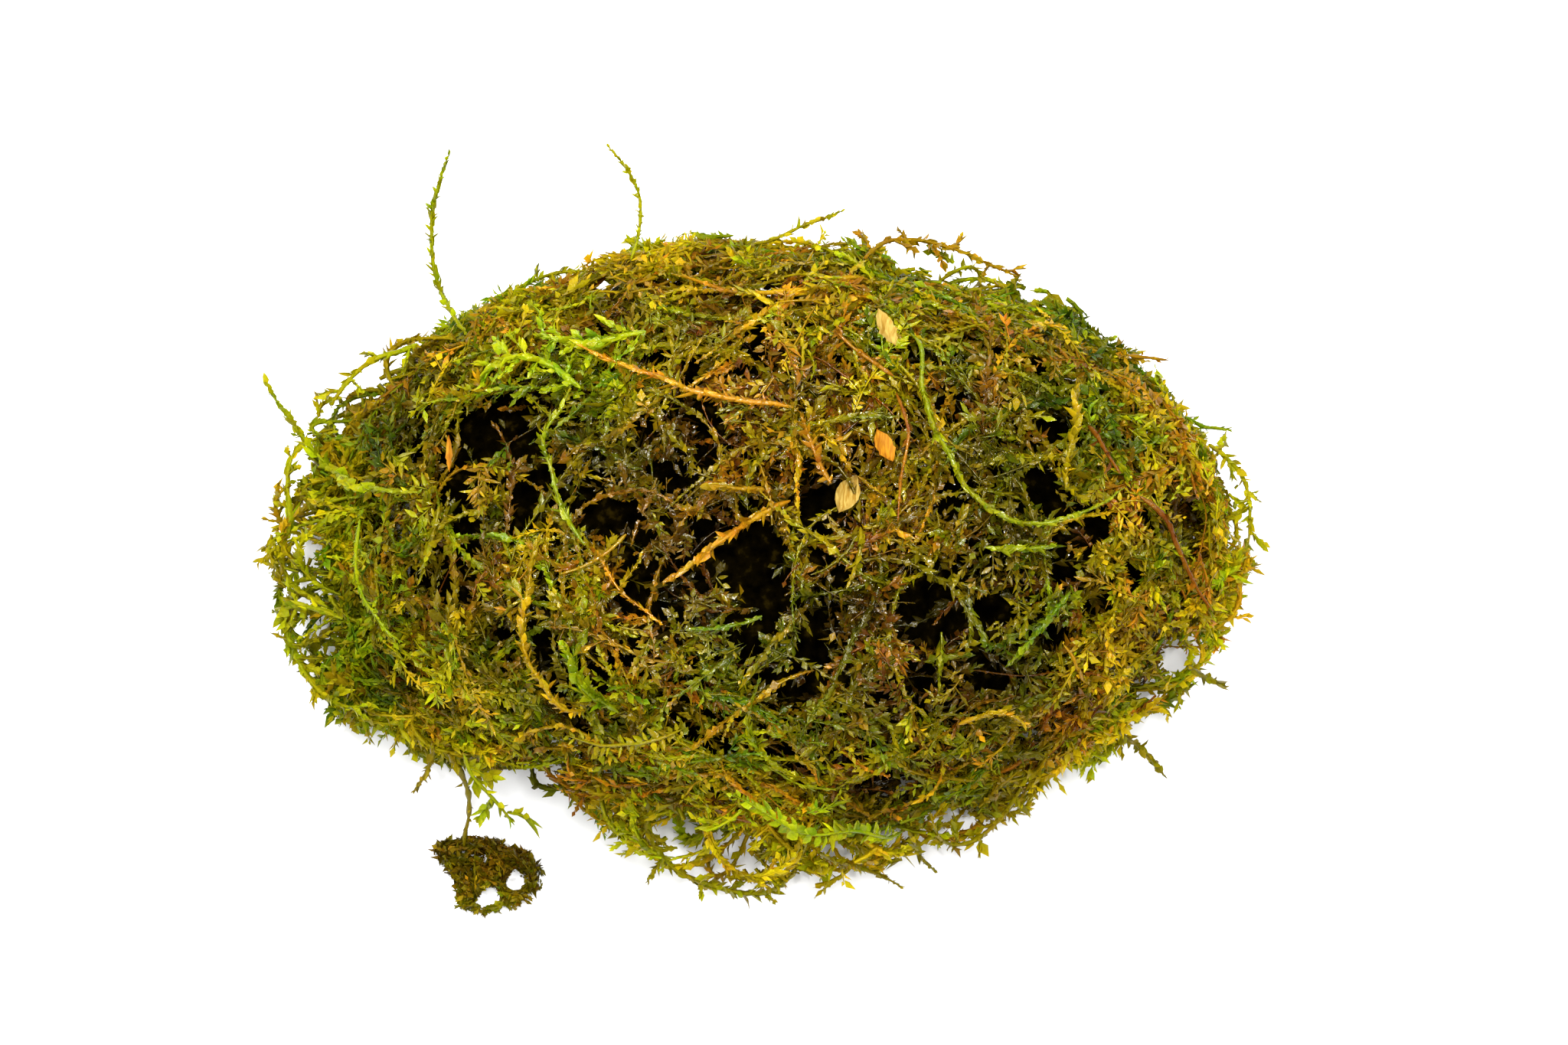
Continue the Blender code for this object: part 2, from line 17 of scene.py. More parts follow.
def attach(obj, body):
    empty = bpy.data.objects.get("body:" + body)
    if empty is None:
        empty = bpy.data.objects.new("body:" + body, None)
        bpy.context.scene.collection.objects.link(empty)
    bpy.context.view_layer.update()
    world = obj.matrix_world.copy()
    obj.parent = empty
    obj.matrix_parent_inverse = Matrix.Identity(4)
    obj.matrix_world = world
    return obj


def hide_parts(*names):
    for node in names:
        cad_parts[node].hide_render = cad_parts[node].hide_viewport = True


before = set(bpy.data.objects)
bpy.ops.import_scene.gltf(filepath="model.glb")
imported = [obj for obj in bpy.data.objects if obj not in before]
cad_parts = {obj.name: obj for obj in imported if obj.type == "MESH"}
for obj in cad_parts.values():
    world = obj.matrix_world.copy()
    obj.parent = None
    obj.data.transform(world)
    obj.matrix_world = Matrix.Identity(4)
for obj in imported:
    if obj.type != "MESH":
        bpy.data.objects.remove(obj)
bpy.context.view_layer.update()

MM = 0.001
SEED = 20

# The camera
VIEW_WIDTH = 2048
VIEW_HEIGHT = 1365
VIEW_ELEVATION = math.radians(78)
VIEW_DISTANCE = 353 * MM
VIEW_LENS = 100.0
VIEW_SENSOR = 36.0
VIEW_TARGET = Vector((0.0, 1.4, 12.0)) * MM
FORWARD = Vector((0.0, math.cos(VIEW_ELEVATION), -math.sin(VIEW_ELEVATION)))
UPWARD = Vector((0.0, math.sin(VIEW_ELEVATION), math.cos(VIEW_ELEVATION)))
EYE = VIEW_TARGET - FORWARD * VIEW_DISTANCE

# The lamps: place, size and power
LAMPS = {
    "soft_light": ((0.02, -0.06, 0.70), 0.24, 3.3),
    "key_light": ((-0.18, 0.16, 0.50), 0.05, 1.8),
    "fill_light": ((0.30, -0.10, 0.44), 0.03, 0.85),
    "spark_light_left": ((-0.30, -0.08, 0.40), 0.08, 0.77),
    "spark_light_back": ((0.10, 0.30, 0.40), 0.08, 0.77),
    "spark_light_front": ((-0.05, -0.30, 0.42), 0.08, 0.70),
    "spark_light_right": ((0.24, 0.10, 0.48), 0.08, 0.70),
    "spark_light_top": ((-0.10, 0.14, 0.52), 0.08, 0.70),
}
LAMP_TARGET = Vector((0, 0, 0.01))
FLOOR_SIZE = 3.0

# Leaf sizes
LEAF_LENGTH = 0.80 * MM
LEAF_WIDTH = 0.41 * MM
STEM_RADIUS = 0.11 * MM

# Painted shade: how dark the moss is drawn with depth under the mound's surface; leaves in the open get the
# full light, without this painted shade
DEEP_LIGHT = 0.19
DEEP_HEIGHT = 2.4 * MM
DEEP_RANGE = 3.0 * MM
OPEN_HEIGHT = 3.0 * MM
MOST_LIGHT = 1.8

# How far apart the dark gaps between the stems are, and the lighter, the older and the denser patches
GAP_SIZES = (7.0 * MM, 3.6 * MM)
LIGHT_PATCH = 8.0 * MM
AGE_PATCH = 11.0 * MM
CLUMP_PATCH = 7.0 * MM

# The level of a random field from which a gap opens, its rise to the rim and at the full place, and
# how soft the gap's edge is
GAP_LEVEL = 0.655
GAP_RIM_RISE = 0.09
GAP_FULL_RISE = 0.12
GAP_EDGE = 0.05

# How far into a gap a stem may grow: a shy one hardly, a bold one across it, and a spanning one across
# the openings too
SHY = 0.45
BOLD = 2.0
SPANNING = 4.0

# How a creeping stem waves up and down, and how far it strays from the flow around it, in radians
WAVE_HEIGHT = 0.22 * MM
WAVE_LENGTH = 7.0 * MM
FLOW_SPREAD = 0.55

# The mound: its middle and half its size in the view, the height where it is widest, half the size of
# its wet middle, and how far the normals of its underside point down
MOUND_PLACE = (980, 680)
MOUND_REACH = (640, 350)
WIDEST_LEVEL = 11 * MM
WET_REACH = (40 * MM, 26 * MM)
UNDERSIDE = -0.3

# How far the moss stays off the floor
FLOOR_GAP = 0.02 * MM

# The dark core: how far it lies under the surface, its middle, and how it shrinks towards that
CORE_DEPTH = 3.1 * MM
CORE_MIDDLE = np.array([0.0, 0.0, 9.0 * MM])
CORE_SHRINK = (0.935, 0.96, 0.985)
CORE_FLOOR = 0.6 * MM

# The fringe at the rim: its reach in millimetres where it is densest, the points of one stem, the
# rim's half sizes, and how far out the rays to it start
FULL_REACH = 4.6
ARC_STEPS = 14
RIM_SHAPE = (38, 25)
RAY_START = 80 * MM

# The tuft turns from brown to green this far down the view, over this many points
TUFT_PLACE = 1135
TUFT_REACH = 45

# A map of the loose stems in the view: the view's points to a cell, and half the width in cells that
# is kept clear for a stem and for a flake
CELL = 4
STEM_MARK = 1.8
FLAKE_MARK = 2.4

# Dark hollows: place and width in the view
HOLLOWS = (
    (890, 528, 70), (905, 485, 50), (985, 478, 45), (912, 605, 60), (715, 640, 90),
    (680, 665, 75), (780, 660, 75), (880, 668, 46), (620, 565, 85), (590, 645, 60), (600, 590, 70),
    (960, 725, 135), (1000, 768, 60), (1080, 745, 70), (1238, 530, 50), (1375, 560, 80),
    (1365, 640, 60), (1290, 740, 60), (1390, 740, 60), (1300, 790, 60), (820, 700, 75), (1070, 860, 100),
    (990, 812, 80), (610, 700, 50), (665, 545, 70), (1060, 1020, 50), (1160, 1030, 50), (870, 795, 70),
    (1195, 885, 60), (1290, 880, 60), (1390, 830, 50), (925, 745, 80), (985, 760, 70), (945, 805, 60),
    (1045, 890, 70), (523, 690, 50), (492, 662, 40), (544, 756, 42), (470, 618, 34),
    (500, 730, 36), (600, 715, 55), (592, 770, 40), (1250, 640, 60), (860, 470, 46), (690, 575, 60),
)

# A place where the clump is full: place and width in the view
FULL_PLACE = (1100, 610, 140)

# Openings where nothing grows, through the rim's net or down to the dark core: place, width and
# height in the view
OPENINGS = (
    (388, 604, 34, 60), (396, 700, 52, 64), (406, 766, 54, 58), (416, 830, 50, 58), (384, 668, 26, 44),
    (396, 888, 24, 44), (470, 500, 66, 50), (506, 474, 52, 32), (440, 548, 34, 34), (388, 544, 26, 36),
    (1195, 343, 52, 26), (1240, 358, 60, 32), (1290, 368, 54, 26), (1340, 386, 40, 22), (1534, 862, 40, 56),
    (1500, 900, 42, 28), (1562, 850, 24, 44), (1606, 606, 34, 74), (1614, 684, 26, 60),
    (930, 1112, 108, 54), (880, 1084, 56, 34), (970, 1126, 44, 24), (1046, 1148, 44, 24),
    (1090, 1108, 40, 34), (1180, 1098, 80, 30), (1240, 1070, 60, 30), (690, 1024, 70, 56),
    (668, 1149, 22, 18), (636, 1176, 28, 14), (1300, 338, 40, 24), (1352, 354, 40, 30), (1398, 378, 40, 34),
    (790, 372, 24, 16), (985, 722, 64, 46), (1000, 780, 46, 24), (820, 676, 34, 30), (860, 614, 26, 26),
)

# How the moss is around some places of the view: x, y, width, age, light, direction of its stems;
# the light is partly the moss's own lightness and partly painted light and shade, lighter at the rim
# and the top and darker round the hollows
REGIONS = (
    (1060, 560, 220, 0.68, 0.90, 75),
    (930, 350, 60, 0.78, 0.55, 20),
    (850, 495, 90, 0.56, 0.42, 30),
    (790, 395, 80, 0.66, 1.00, 30),
    (1190, 815, 80, 0.50, 0.80, 10),
    (1060, 425, 100, 0.56, 0.46, 20),
    (1180, 430, 100, 0.44, 0.56, 150),
    (1290, 430, 90, 0.36, 0.60, 150),
    (950, 425, 90, 0.56, 0.42, 20),
    (990, 790, 110, 0.48, 0.42, 30),
    (1080, 870, 90, 0.50, 0.44, 10),
    (890, 860, 80, 0.46, 0.62, 150),
    (1490, 680, 90, 0.62, 0.72, 110),
    (1180, 620, 160, 0.62, 0.68, 88),
    (1250, 780, 240, 0.48, 0.62, 35),
    (1100, 560, 100, 0.68, 1.10, 85),
    (880, 640, 200, 0.60, 0.64, 60),
    (560, 620, 220, 0.44, 0.63, 70),
    (520, 830, 240, 0.40, 0.88, 100),
    (390, 740, 130, 0.42, 1.45, 88),
    (690, 780, 160, 0.46, 0.80, 75),
    (760, 450, 220, 0.44, 1.05, 25),
    (980, 335, 220, 0.46, 1.75, 20),
    (820, 350, 110, 0.50, 1.45, 20),
    (1190, 365, 90, 0.38, 1.35, 150),
    (650, 400, 90, 0.38, 1.25, 30),
    (950, 490, 120, 0.68, 0.55, 20),
    (1230, 390, 220, 0.40, 0.92, 150),
    (1440, 500, 220, 0.34, 0.92, 130),
    (1370, 560, 120, 0.42, 0.36, 120),
    (1570, 700, 180, 0.46, 1.35, 95),
    (1500, 900, 190, 0.50, 1.30, 40),
    (1400, 790, 120, 0.48, 0.55, 50),
    (1150, 880, 200, 0.48, 0.60, 10),
    (770, 470, 110, 0.32, 1.15, 15),
    (850, 900, 240, 0.42, 0.88, 160),
    (950, 1070, 260, 0.46, 1.15, 175),
    (650, 1000, 200, 0.40, 0.76, 145),
)

# How far the loose fringe reaches out of the mound, by bearing in degrees from +X
SKIRT = (
    (-180, 6.2), (-168, 6.0), (-156, 5.6), (-142, 2.8), (-128, 0.3), (-116, 0.6), (-104, 4.2), (-90, 4.4),
    (-80, 2.4), (-66, 1.8), (-52, 1.0), (-30, 1.8), (-14, 2.2), (10, 2.4), (28, 0.4), (48, 0.3), (56, 2.8),
    (66, 3.0), (74, 1.0), (100, 0.3), (125, 0.2), (142, 2.2), (156, 4.8), (168, 5.8), (180, 6.2),
)

# Leaf shapes: along the leaf its share of the length, share of the width and how far the edges are
# raised, then the corners across it, from -1 at one edge to 1 at the other, and the triangles
LEAVES = {
    "fine": (((0.0, 0, 0), (0.30, 1.0, 0.14), (0.68, 0.70, 0.10), (1.0, 0, 0)), (-1, 0, 1),
             ((0, 2, 1), (0, 3, 2), (1, 2, 5), (1, 5, 4), (2, 3, 6), (2, 6, 5), (4, 5, 7), (5, 6, 7))),
    "plain": (((0.0, 0, 0), (0.42, 1.0, 0.14), (1.0, 0, 0)), (-1, 0, 1),
              ((0, 2, 1), (0, 3, 2), (1, 2, 4), (2, 3, 4))),
    "kite": (((0.0, 0, 0), (0.40, 1.0, 0.20), (1.0, 0, 0)), (-1, 1), ((0, 3, 1), (0, 2, 3))),
}

# Stems as points, with the normals of the form below and the heights over it
Path = namedtuple("Path", "points normals heights")

# How leaves sit on a stem: the step between them in millimetres, their angle to the stem, how far
# round it they spread, how flat they lie, their length and width, the stem's radius, their curl and
# their shape
Habit = namedtuple("Habit", "step angle spread flat length width radius curl leaf")
COMB = Habit(0.50, 58, 18, 0.85, 1.00, 0.80, 1.0, 0.20, "fine")
FROND = Habit(0.44, 44, 42, 0.60, 0.95, 0.95, 0.9, 0.16, "plain")
BUSHY = Habit(0.42, 34, 180, 0.30, 0.92, 0.95, 1.1, 0.18, "plain")
BUD = Habit(0.32, 42, 180, 0.30, 1.00, 1.05, 0.9, 0.24, "plain")
MAT = Habit(0.34, 42, 180, 0.30, 0.90, 1.10, 0.8, 0.16, "kite")
CORD = Habit(0.30, 26, 180, 0.1, 0.95, 1.15, 1.40, 0.14, "plain")
BARE = Habit(1.30, 28, 180, 0.0, 0.65, 0.75, 0.9, 0.05, "plain")
UNDER = Habit(0.60, 45, 90, 0.3, 1.15, 1.25, 1.0, 0.1, "kite")
COARSE = Habit(0.44, 44, 70, 0.4, 1.00, 1.05, 0.9, 0.16, "kite")
FELT = Habit(0.34, 26, 180, 0.2, 1.15, 1.30, 1.0, 0.12, "kite")
LACE = Habit(0.40, 30, 180, 0.2, 1.00, 1.10, 1.0, 0.12, "plain")
ROPE = Habit(0.29, 24, 180, 0.0, 1.10, 1.30, 1.0, 0.12, "fine")
TOOTHED = Habit(0.34, 38, 180, 0.0, 1.00, 0.95, 1.0, 0.15, "fine")
SHOOT = Habit(0.32, 26, 180, 0.0, 1.05, 1.25, 1.0, 0.14, "fine")
SHOOT_TWIG = Habit(0.30, 25, 180, 0.0, 1.05, 1.20, 1.0, 0.14, "fine")
PLUME = Habit(0.48, 56, 14, 0.9, 1.20, 1.10, 1.0, 0.20, "fine")
FERN = Habit(0.46, 42, 30, 0.6, 1.15, 1.15, 1.0, 0.16, "fine")
FERN_TWIG = Habit(0.42, 38, 40, 0.6, 1.15, 1.15, 1.0, 0.16, "fine")
LACY = Habit(0.40, 30, 180, 0.0, 1.20, 1.25, 1.0, 0.14, "fine")

# How a loose stem is clothed: its radius in millimetres, how uneven it is, its leaves, and the gap
# between its side shoots with their reach, lift and leaves
Style = namedtuple("Style", "radius scaly habit gap reach lift twig_habit", defaults=(0, None, 0, None))
STYLES = {
    "rope": Style(0.18, 0.16, ROPE),
    "toothed": Style(0.17, 0.12, TOOTHED),
    "forked": Style(0.19, 0.16, SHOOT, 0.85, (1.4, 3.6), 0.12, SHOOT_TWIG),
    "comb": Style(0.15, 0.10, PLUME),
    "fern": Style(0.19, 0.12, FERN, 2.0, (1.6, 3.6), 0.15, FERN_TWIG),
    "lacy": Style(0.24, 0.14, LACY, 2.2, (1.2, 3.4), -0.1, FELT),
    "wire": Style(0.14, 0.12, BARE),
}

# The loose stems of each piece: solid, style, age, light and the size of its leaves
LOOSE_STEMS = {
    "loose_green_stems": (
        ("stem_wisp_back_left", "toothed", 0.32, 1.10, 1.0), ("stem_wisp_back", "rope", 0.36, 1.3, 0.8),
        ("stem_wisp_left", "rope", 0.30, 1.15, 1.1), ("stem_spike_back_small", "toothed", 0.22, 0.9, 1.0),
        ("stem_green_upright_left", "toothed", 0.28, 1.15, 0.95),
        ("stem_green_loop", "rope", 0.31, 1.10, 1.15),
        ("stem_green_loop_low", "rope", 0.26, 1.0, 1.05), ("stem_green_middle", "toothed", 0.22, 0.9, 0.9),
        ("stem_green_right", "rope", 0.18, 0.95, 0.9), ("stem_twig_right", "toothed", 0.24, 1.0, 1.0)),
    "loose_lime_shoots": (
        ("stem_lime_shoot", "forked", 0.27, 1.8, 1.5), ("stem_lime_twig", "forked", 0.26, 1.6, 1.25),
        ("stem_green_fern_left", "toothed", 0.26, 1.3, 0.95),
        ("stem_lime_low_left", "rope", 0.27, 1.2, 1.2),
        ("stem_lime_front", "comb", 0.27, 1.25, 1.0), ("stem_feather_front", "fern", 0.30, 0.95, 1.0)),
    "loose_gold_stems": (
        ("stem_gold_twisted", "rope", 0.68, 1.30, 1.35), ("stem_gold_short", "rope", 0.62, 1.05, 1.1),
        ("stem_gold_hanging", "rope", 0.50, 1.05, 1.0), ("stem_yellow_upright", "rope", 0.50, 1.05, 0.9),
        ("stem_gold_upright_left", "toothed", 0.58, 1.15, 1.1)),
    "loose_orange_stems": (
        ("stem_orange_long", "toothed", 0.71, 1.4, 1.35), ("stem_brown_short", "toothed", 0.70, 1.0, 1.2),
        ("stem_brown_thin", "wire", 0.64, 1.0, 1.2), ("stem_orange_slant", "wire", 0.74, 0.9, 1.3),
        ("stem_orange_right", "wire", 0.66, 1.0, 1.2), ("stem_orange_arch", "rope", 0.62, 1.1, 0.9),
        ("stem_rust_upright", "wire", 0.82, 1.1, 1.1), ("stem_rust_right", "wire", 0.84, 0.66, 1.6),
        ("stem_rust_right_short", "wire", 0.84, 0.66, 1.5)),
    "rim_loops": (
        ("stem_loop_left", "lacy", 0.38, 1.2, 1.0), ("stem_loop_left_middle", "lacy", 0.36, 1.2, 1.0),
        ("stem_loop_left_low", "lacy", 0.34, 1.0, 1.0), ("stem_loop_right", "lacy", 0.40, 1.1, 0.8),
        ("stem_loop_front", "lacy", 0.42, 0.8, 1.0), ("stem_loop_front_right", "lacy", 0.46, 0.85, 0.9),
        ("stem_loop_back_right", "lacy", 0.62, 0.8, 0.8)),
    "rim_spikes": (
        ("stem_spike_back", "toothed", 0.42, 1.0, 0.9), ("stem_spike_back_right", "wire", 0.70, 0.7, 1.2),
        ("stem_spike_front_left", "rope", 0.52, 0.55, 1.0), ("stem_spike_front", "rope", 0.48, 0.6, 0.9),
        ("stem_spike_front_right", "rope", 0.46, 0.55, 0.9), ("stem_hook_right", "rope", 0.46, 0.55, 1.0),
        ("stem_spike_right", "rope", 0.46, 0.55, 1.0), ("stem_olive_fork_left", "rope", 0.40, 0.8, 0.8),
        ("stem_olive_low", "comb", 0.44, 0.9, 1.0)),
}

# The dead flakes and how broad each is, as a share of its solid
FLAKES = {
    "flake_straw_back": 0.95,
    "flake_straw_middle": 0.72,
    "flake_orange_middle": 1.25,
    "flake_yellow_left": 0.72,
}

# The moss's colours by age, from young green through gold and rust to dead brown; how light they
# are, the paler colour of the leaf tips, and the near-black colours of the core, which are painted shade
AGES = (
    (0.00, (0.030, 0.105, 0.002)),
    (0.16, (0.110, 0.215, 0.002)),
    (0.30, (0.285, 0.325, 0.002)),
    (0.44, (0.365, 0.295, 0.002)),
    (0.58, (0.430, 0.270, 0.003)),
    (0.74, (0.510, 0.200, 0.005)),
    (0.88, (0.320, 0.075, 0.004)),
    (1.00, (0.100, 0.026, 0.003)),
)
MOSS_LIGHTNESS = 0.70
TIP_COLOUR = (0.60, 0.48, 0.004)
CORE_SHADE_COLOURS = (
    (0.36, (0.0003, 0.0002, 0.0001)),
    (0.58, (0.0020, 0.0013, 0.0002)),
    (0.70, (0.0120, 0.0075, 0.0006)),
)

# A layer of strands: the form they creep over, what the stems are like in millimetres, where they
# grow, and last their side shoots
Plan = namedtuple("Plan", "form count length sink rise wander main age light age_spread clump avoid "
                          "under group heart gap twig twig_rise twig_habit",
                  defaults=(0.4, 1, 0.0, 0, None, None, None))
# The lower light of the deep and middle strands is painted shade
LAYERS = {
    "deep_strands": Plan("skin", 170, (8, 16), (-3.0, -2.0), (-2.4, -1.2), 0.10, UNDER, 0.10, 0.70, 0.06,
                         0.1, 0.5, 0.5, 1, 0.5, 2.0, (2, 4.5), (-0.6, 0.6), UNDER),
    "leaf_mat": Plan("skin", 1300, (1.6, 3.4), (-1.9, -0.9), (-1.3, -0.2), 0.16, MAT, 0.05, 0.95, 0.08,
                     0.2, 0.88, 0.3, 3, 1.4),
    "middle_strands": Plan("skin", 240, (8, 16), (-1.7, -0.7), (-1.1, 0.0), 0.12, COARSE, 0.04, 0.85, 0.06,
                           0.6, 0.9, 0.4, 1, 0.0, 1.5, (1.6, 3.4), (-0.5, 0.6), COARSE),
    "upper_strands": Plan("skin", 240, (8, 18), (-0.8, 0.2), (-0.3, 0.8), 0.12, BUSHY, 0.0, 0.95, 0.06,
                          0.75, 0.9, 0.4, 1, 0.0, 1.4, (1.2, 3.0), (-0.5, 0.9), FROND),
    "leafy_buds": Plan("skin", 310, (1.2, 2.4), (-0.8, 0.0), (0.1, 0.9), 0.16, BUD, -0.02, 1.02, 0.06,
                       0.9, 0.95, 0.5, 5, 0.3),
    "top_combs": Plan("skin", 100, (7, 15), (-0.4, 0.5), (0.2, 1.0), 0.12, COMB, -0.02, 1.0, 0.06,
                      0.75, 0.9, 0.4, 1, 0.0, 2.0, (1.6, 3.2), (-0.2, 0.9), COMB),
    "long_cords": Plan("hull", 350, (10, 26), (-0.4, 0.8), (0.0, 1.4), 0.15, CORD, 0.03, 1.0, 0.09,
                       0.3, 0.6),
    "bare_stems": Plan("hull", 60, (8, 18), (-0.4, 0.6), (0.2, 1.2), 0.16, BARE, 0.30, 0.8, 0.10,
                       0.0, 0.5),
}


def rng(name):
    """A generator of its own for each named piece, so that one change leaves the others alone."""
    return np.random.default_rng([SEED] + [ord(c) for c in name])


def unit(vectors):
    return vectors / np.maximum(np.linalg.norm(vectors, axis=-1, keepdims=True), 1e-12)


def square_to(vectors, others):
    """Unit vectors square to others, and as near as can be to the given ones."""
    return unit(vectors - others * np.sum(vectors * others, axis=1, keepdims=True))


def wave_field(points, size, chance):
    """A smooth random field, mostly 0 to 1, made of a few waves in random directions."""
    total = np.zeros(points.shape[:-1])
    for _ in range(14):
        way = unit(chance.normal(size=3))
        wave = 2 * math.pi / (size * chance.uniform(0.6, 1.7))
        total = total + np.sin(points @ way * wave + chance.uniform(0, 6.28))
    return 0.5 + total / 14


def to_view(points):
    """Where points lie in the view: how far across and how far down."""
    offset = points - np.array(EYE)
    scale = VIEW_LENS / VIEW_SENSOR * VIEW_WIDTH / (offset @ np.array(FORWARD))
    across = VIEW_WIDTH / 2 + offset[..., 0] * scale
    return across, VIEW_HEIGHT / 2 - (offset @ np.array(UPWARD)) * scale


def eye_depth(points):
    """How far points are in front of the eye."""
    return (points - np.array(EYE)) @ np.array(FORWARD)


def off_centre(points):
    """0 in the middle of the mound as seen from above, about 1 at its rim."""
    across, down = to_view(points)
    return np.hypot((across - MOUND_PLACE[0]) / MOUND_REACH[0], (down - MOUND_PLACE[1]) / MOUND_REACH[1])


def hollowness(points):
    """0 away from the dark hollows, 1 in the middle of one; their edges are ragged."""
    across, down = to_view(points)
    ragged = 0.9 * (wave_field(points, 3.0 * MM, rng("ragged")) - 0.5)
    most = np.zeros(across.shape)
    for x, y, width in HOLLOWS:
        distance = np.hypot(across - x, down - y) / (width * 0.52) + ragged
        most = np.maximum(most, np.clip((1.15 - distance) * 1.6, 0, 1))
    return most


def gapness(points):
    """1 where the clump is open down to its dark core, 0 where it is full; the same for all layers."""
    across, down = to_view(points)
    x, y, width = FULL_PLACE
    full = np.exp(-(np.hypot(across - x, down - y) / width) ** 2)
    level = GAP_LEVEL + GAP_RIM_RISE * np.clip(off_centre(points), 0, 1.2) + GAP_FULL_RISE * full
    open_share = hollowness(points)
    for size in GAP_SIZES:
        field = wave_field(points, size, rng("gaps"))
        open_share = np.maximum(open_share, np.clip((field - level) / GAP_EDGE, 0, 1))
    return open_share


# How far from the eye the loose stems lie, cell by cell over the view, and -1 where there is none
stem_depths = np.full((VIEW_HEIGHT // CELL + 2, VIEW_WIDTH // CELL + 2), -1.0)


def mark_stem(points, half_width):
    """Note where a loose stem lies in the view, so that nothing is grown in front of it."""
    rows, columns = np.mgrid[0:stem_depths.shape[0], 0:stem_depths.shape[1]]
    size = int(2 * half_width + 3)
    for across, down, depth in zip(*to_view(points), eye_depth(points)):
        low = max(0, int(down / CELL - half_width - 1))
        left = max(0, int(across / CELL - half_width - 1))
        window = (slice(low, low + size), slice(left, left + size))
        near = np.hypot(rows[window] - down / CELL, columns[window] - across / CELL) <= half_width
        stem_depths[window] = np.where(near, np.maximum(stem_depths[window], depth), stem_depths[window])


def in_front(points):
    """Whether points would hide a loose stem from the view."""
    across, down = to_view(points)
    row = np.clip((down / CELL).astype(int), 0, stem_depths.shape[0] - 1)
    column = np.clip((across / CELL).astype(int), 0, stem_depths.shape[1] - 1)
    return eye_depth(points) < stem_depths[row, column] + 0.1 * MM


def in_opening(points):
    """Whether points lie in an opening where nothing grows; the openings have uneven edges."""
    across, down = to_view(points)
    uneven = 0.7 * (wave_field(points, 1.6 * MM, rng("uneven")) - 0.5)
    inside = np.zeros(across.shape, dtype=bool)
    for x, y, width, height in OPENINGS:
        inside = inside | (np.hypot((across - x) / width, (down - y) / height) + uneven < 0.62)
    return inside


def allowed(points, daring):
    """Whether something may grow at points: not over a loose stem, nor far into a gap or an opening."""
    return (gapness(points) <= daring) & ~in_front(points) & ~(in_opening(points) & (daring < SPANNING))


def region_mix(points):
    """The age, the light and the direction of the stems at some points, blended from the regions."""
    across, down = to_view(points)
    sums = np.multiply.outer((1.0, 0.48, 1.0, 0.0, 0.0), np.full(across.shape, 1e-6))
    for x, y, width, age, light, bearing in REGIONS:
        weight = np.exp(-((across - x) ** 2 + (down - y) ** 2) / (width * 0.6) ** 2)
        way = math.radians(2 * bearing)
        sums = sums + np.multiply.outer((1.0, age, light, math.cos(way), math.sin(way)), weight)
    total, age, light, cosine, sine = sums
    return age / total, light / total, np.arctan2(sine, cosine) / 2


def local_tone(points):
    """The age and the light that the place gives: its region, with its painted light and shade, and patches
    that differ a little.
    """
    age, light, _ = region_mix(points)
    age = age + 0.26 * (wave_field(points, AGE_PATCH, rng("ageing")) - 0.5)
    light = light * np.exp(1.9 * np.clip(wave_field(points, LIGHT_PATCH, rng("patches")) - 0.5, -0.4, 0.12))
    return np.clip(age, 0.22, None), light


def painted_depth_shade(heights):
    """Painted shade: moss is drawn darker the deeper it lies under the surface, where shade falls."""
    light = DEEP_LIGHT + (1 - DEEP_LIGHT) * (heights + DEEP_HEIGHT) / DEEP_RANGE
    return np.clip(light, DEEP_LIGHT * 0.7, 1.0)


def toned(age, light, places, local):
    """Ages and lights side by side, with what their places add where `local` says so."""
    if local:
        near_age, near_light = local_tone(places)
        age = age + near_age
        light = light * near_light
    return np.stack([age, light], axis=-1)


class Form:
    """The mound's solid without its tips, as a surface that shoots can be grown along."""

    def __init__(self, source, rounds):
        shape = bmesh.new()
        shape.from_mesh(source.data)
        bmesh.ops.remove_doubles(shape, verts=shape.verts, dist=1e-6)
        bmesh.ops.triangulate(shape, faces=shape.faces)
        for _ in range(rounds):
            bmesh.ops.smooth_vert(shape, verts=shape.verts, factor=0.5, use_axis_x=True,
                                  use_axis_y=True, use_axis_z=True)
        shape.normal_update()
        self.tree = BVHTree.FromBMesh(shape)
        self.points = np.array([v.co[:] for v in shape.verts])
        self.faces = np.array([[v.index for v in f.verts] for f in shape.faces])
        self.vertex_normals = np.array([v.normal[:] for v in shape.verts])
        shape.free()
        corners = self.points[self.faces]
        cross = np.cross(corners[:, 1] - corners[:, 0], corners[:, 2] - corners[:, 0])
        self.areas = np.linalg.norm(cross, axis=1) / 2
        self.centres = corners.mean(axis=1)

    def scatter(self, count, weights, chance):
        """Random points on the surface, as many to a square millimetre as the weights say."""
        share = self.areas * weights
        picked = chance.choice(len(self.faces), size=count, p=share / share.sum())
        a, b = chance.random((2, count, 1))
        fold = (a + b) > 1
        a = np.where(fold, 1 - a, a)
        b = np.where(fold, 1 - b, b)
        corners = self.points[self.faces[picked]]
        return corners[:, 0] + a * (corners[:, 1] - corners[:, 0]) + b * (corners[:, 2] - corners[:, 0])

    def nearest(self, points):
        """The nearest surface point and the smooth normal there, for each of some points."""
        places = np.empty_like(points)
        normals = np.empty_like(points)
        for index, point in enumerate(points):
            place, _, face, _ = self.tree.find_nearest(Vector(point))
            places[index] = place
            corners = self.faces[face]
            gaps = np.linalg.norm(self.points[corners] - places[index], axis=1) + 1e-6
            normals[index] = (self.vertex_normals[corners] / gaps[:, None]).sum(axis=0)
        return places, unit(normals)


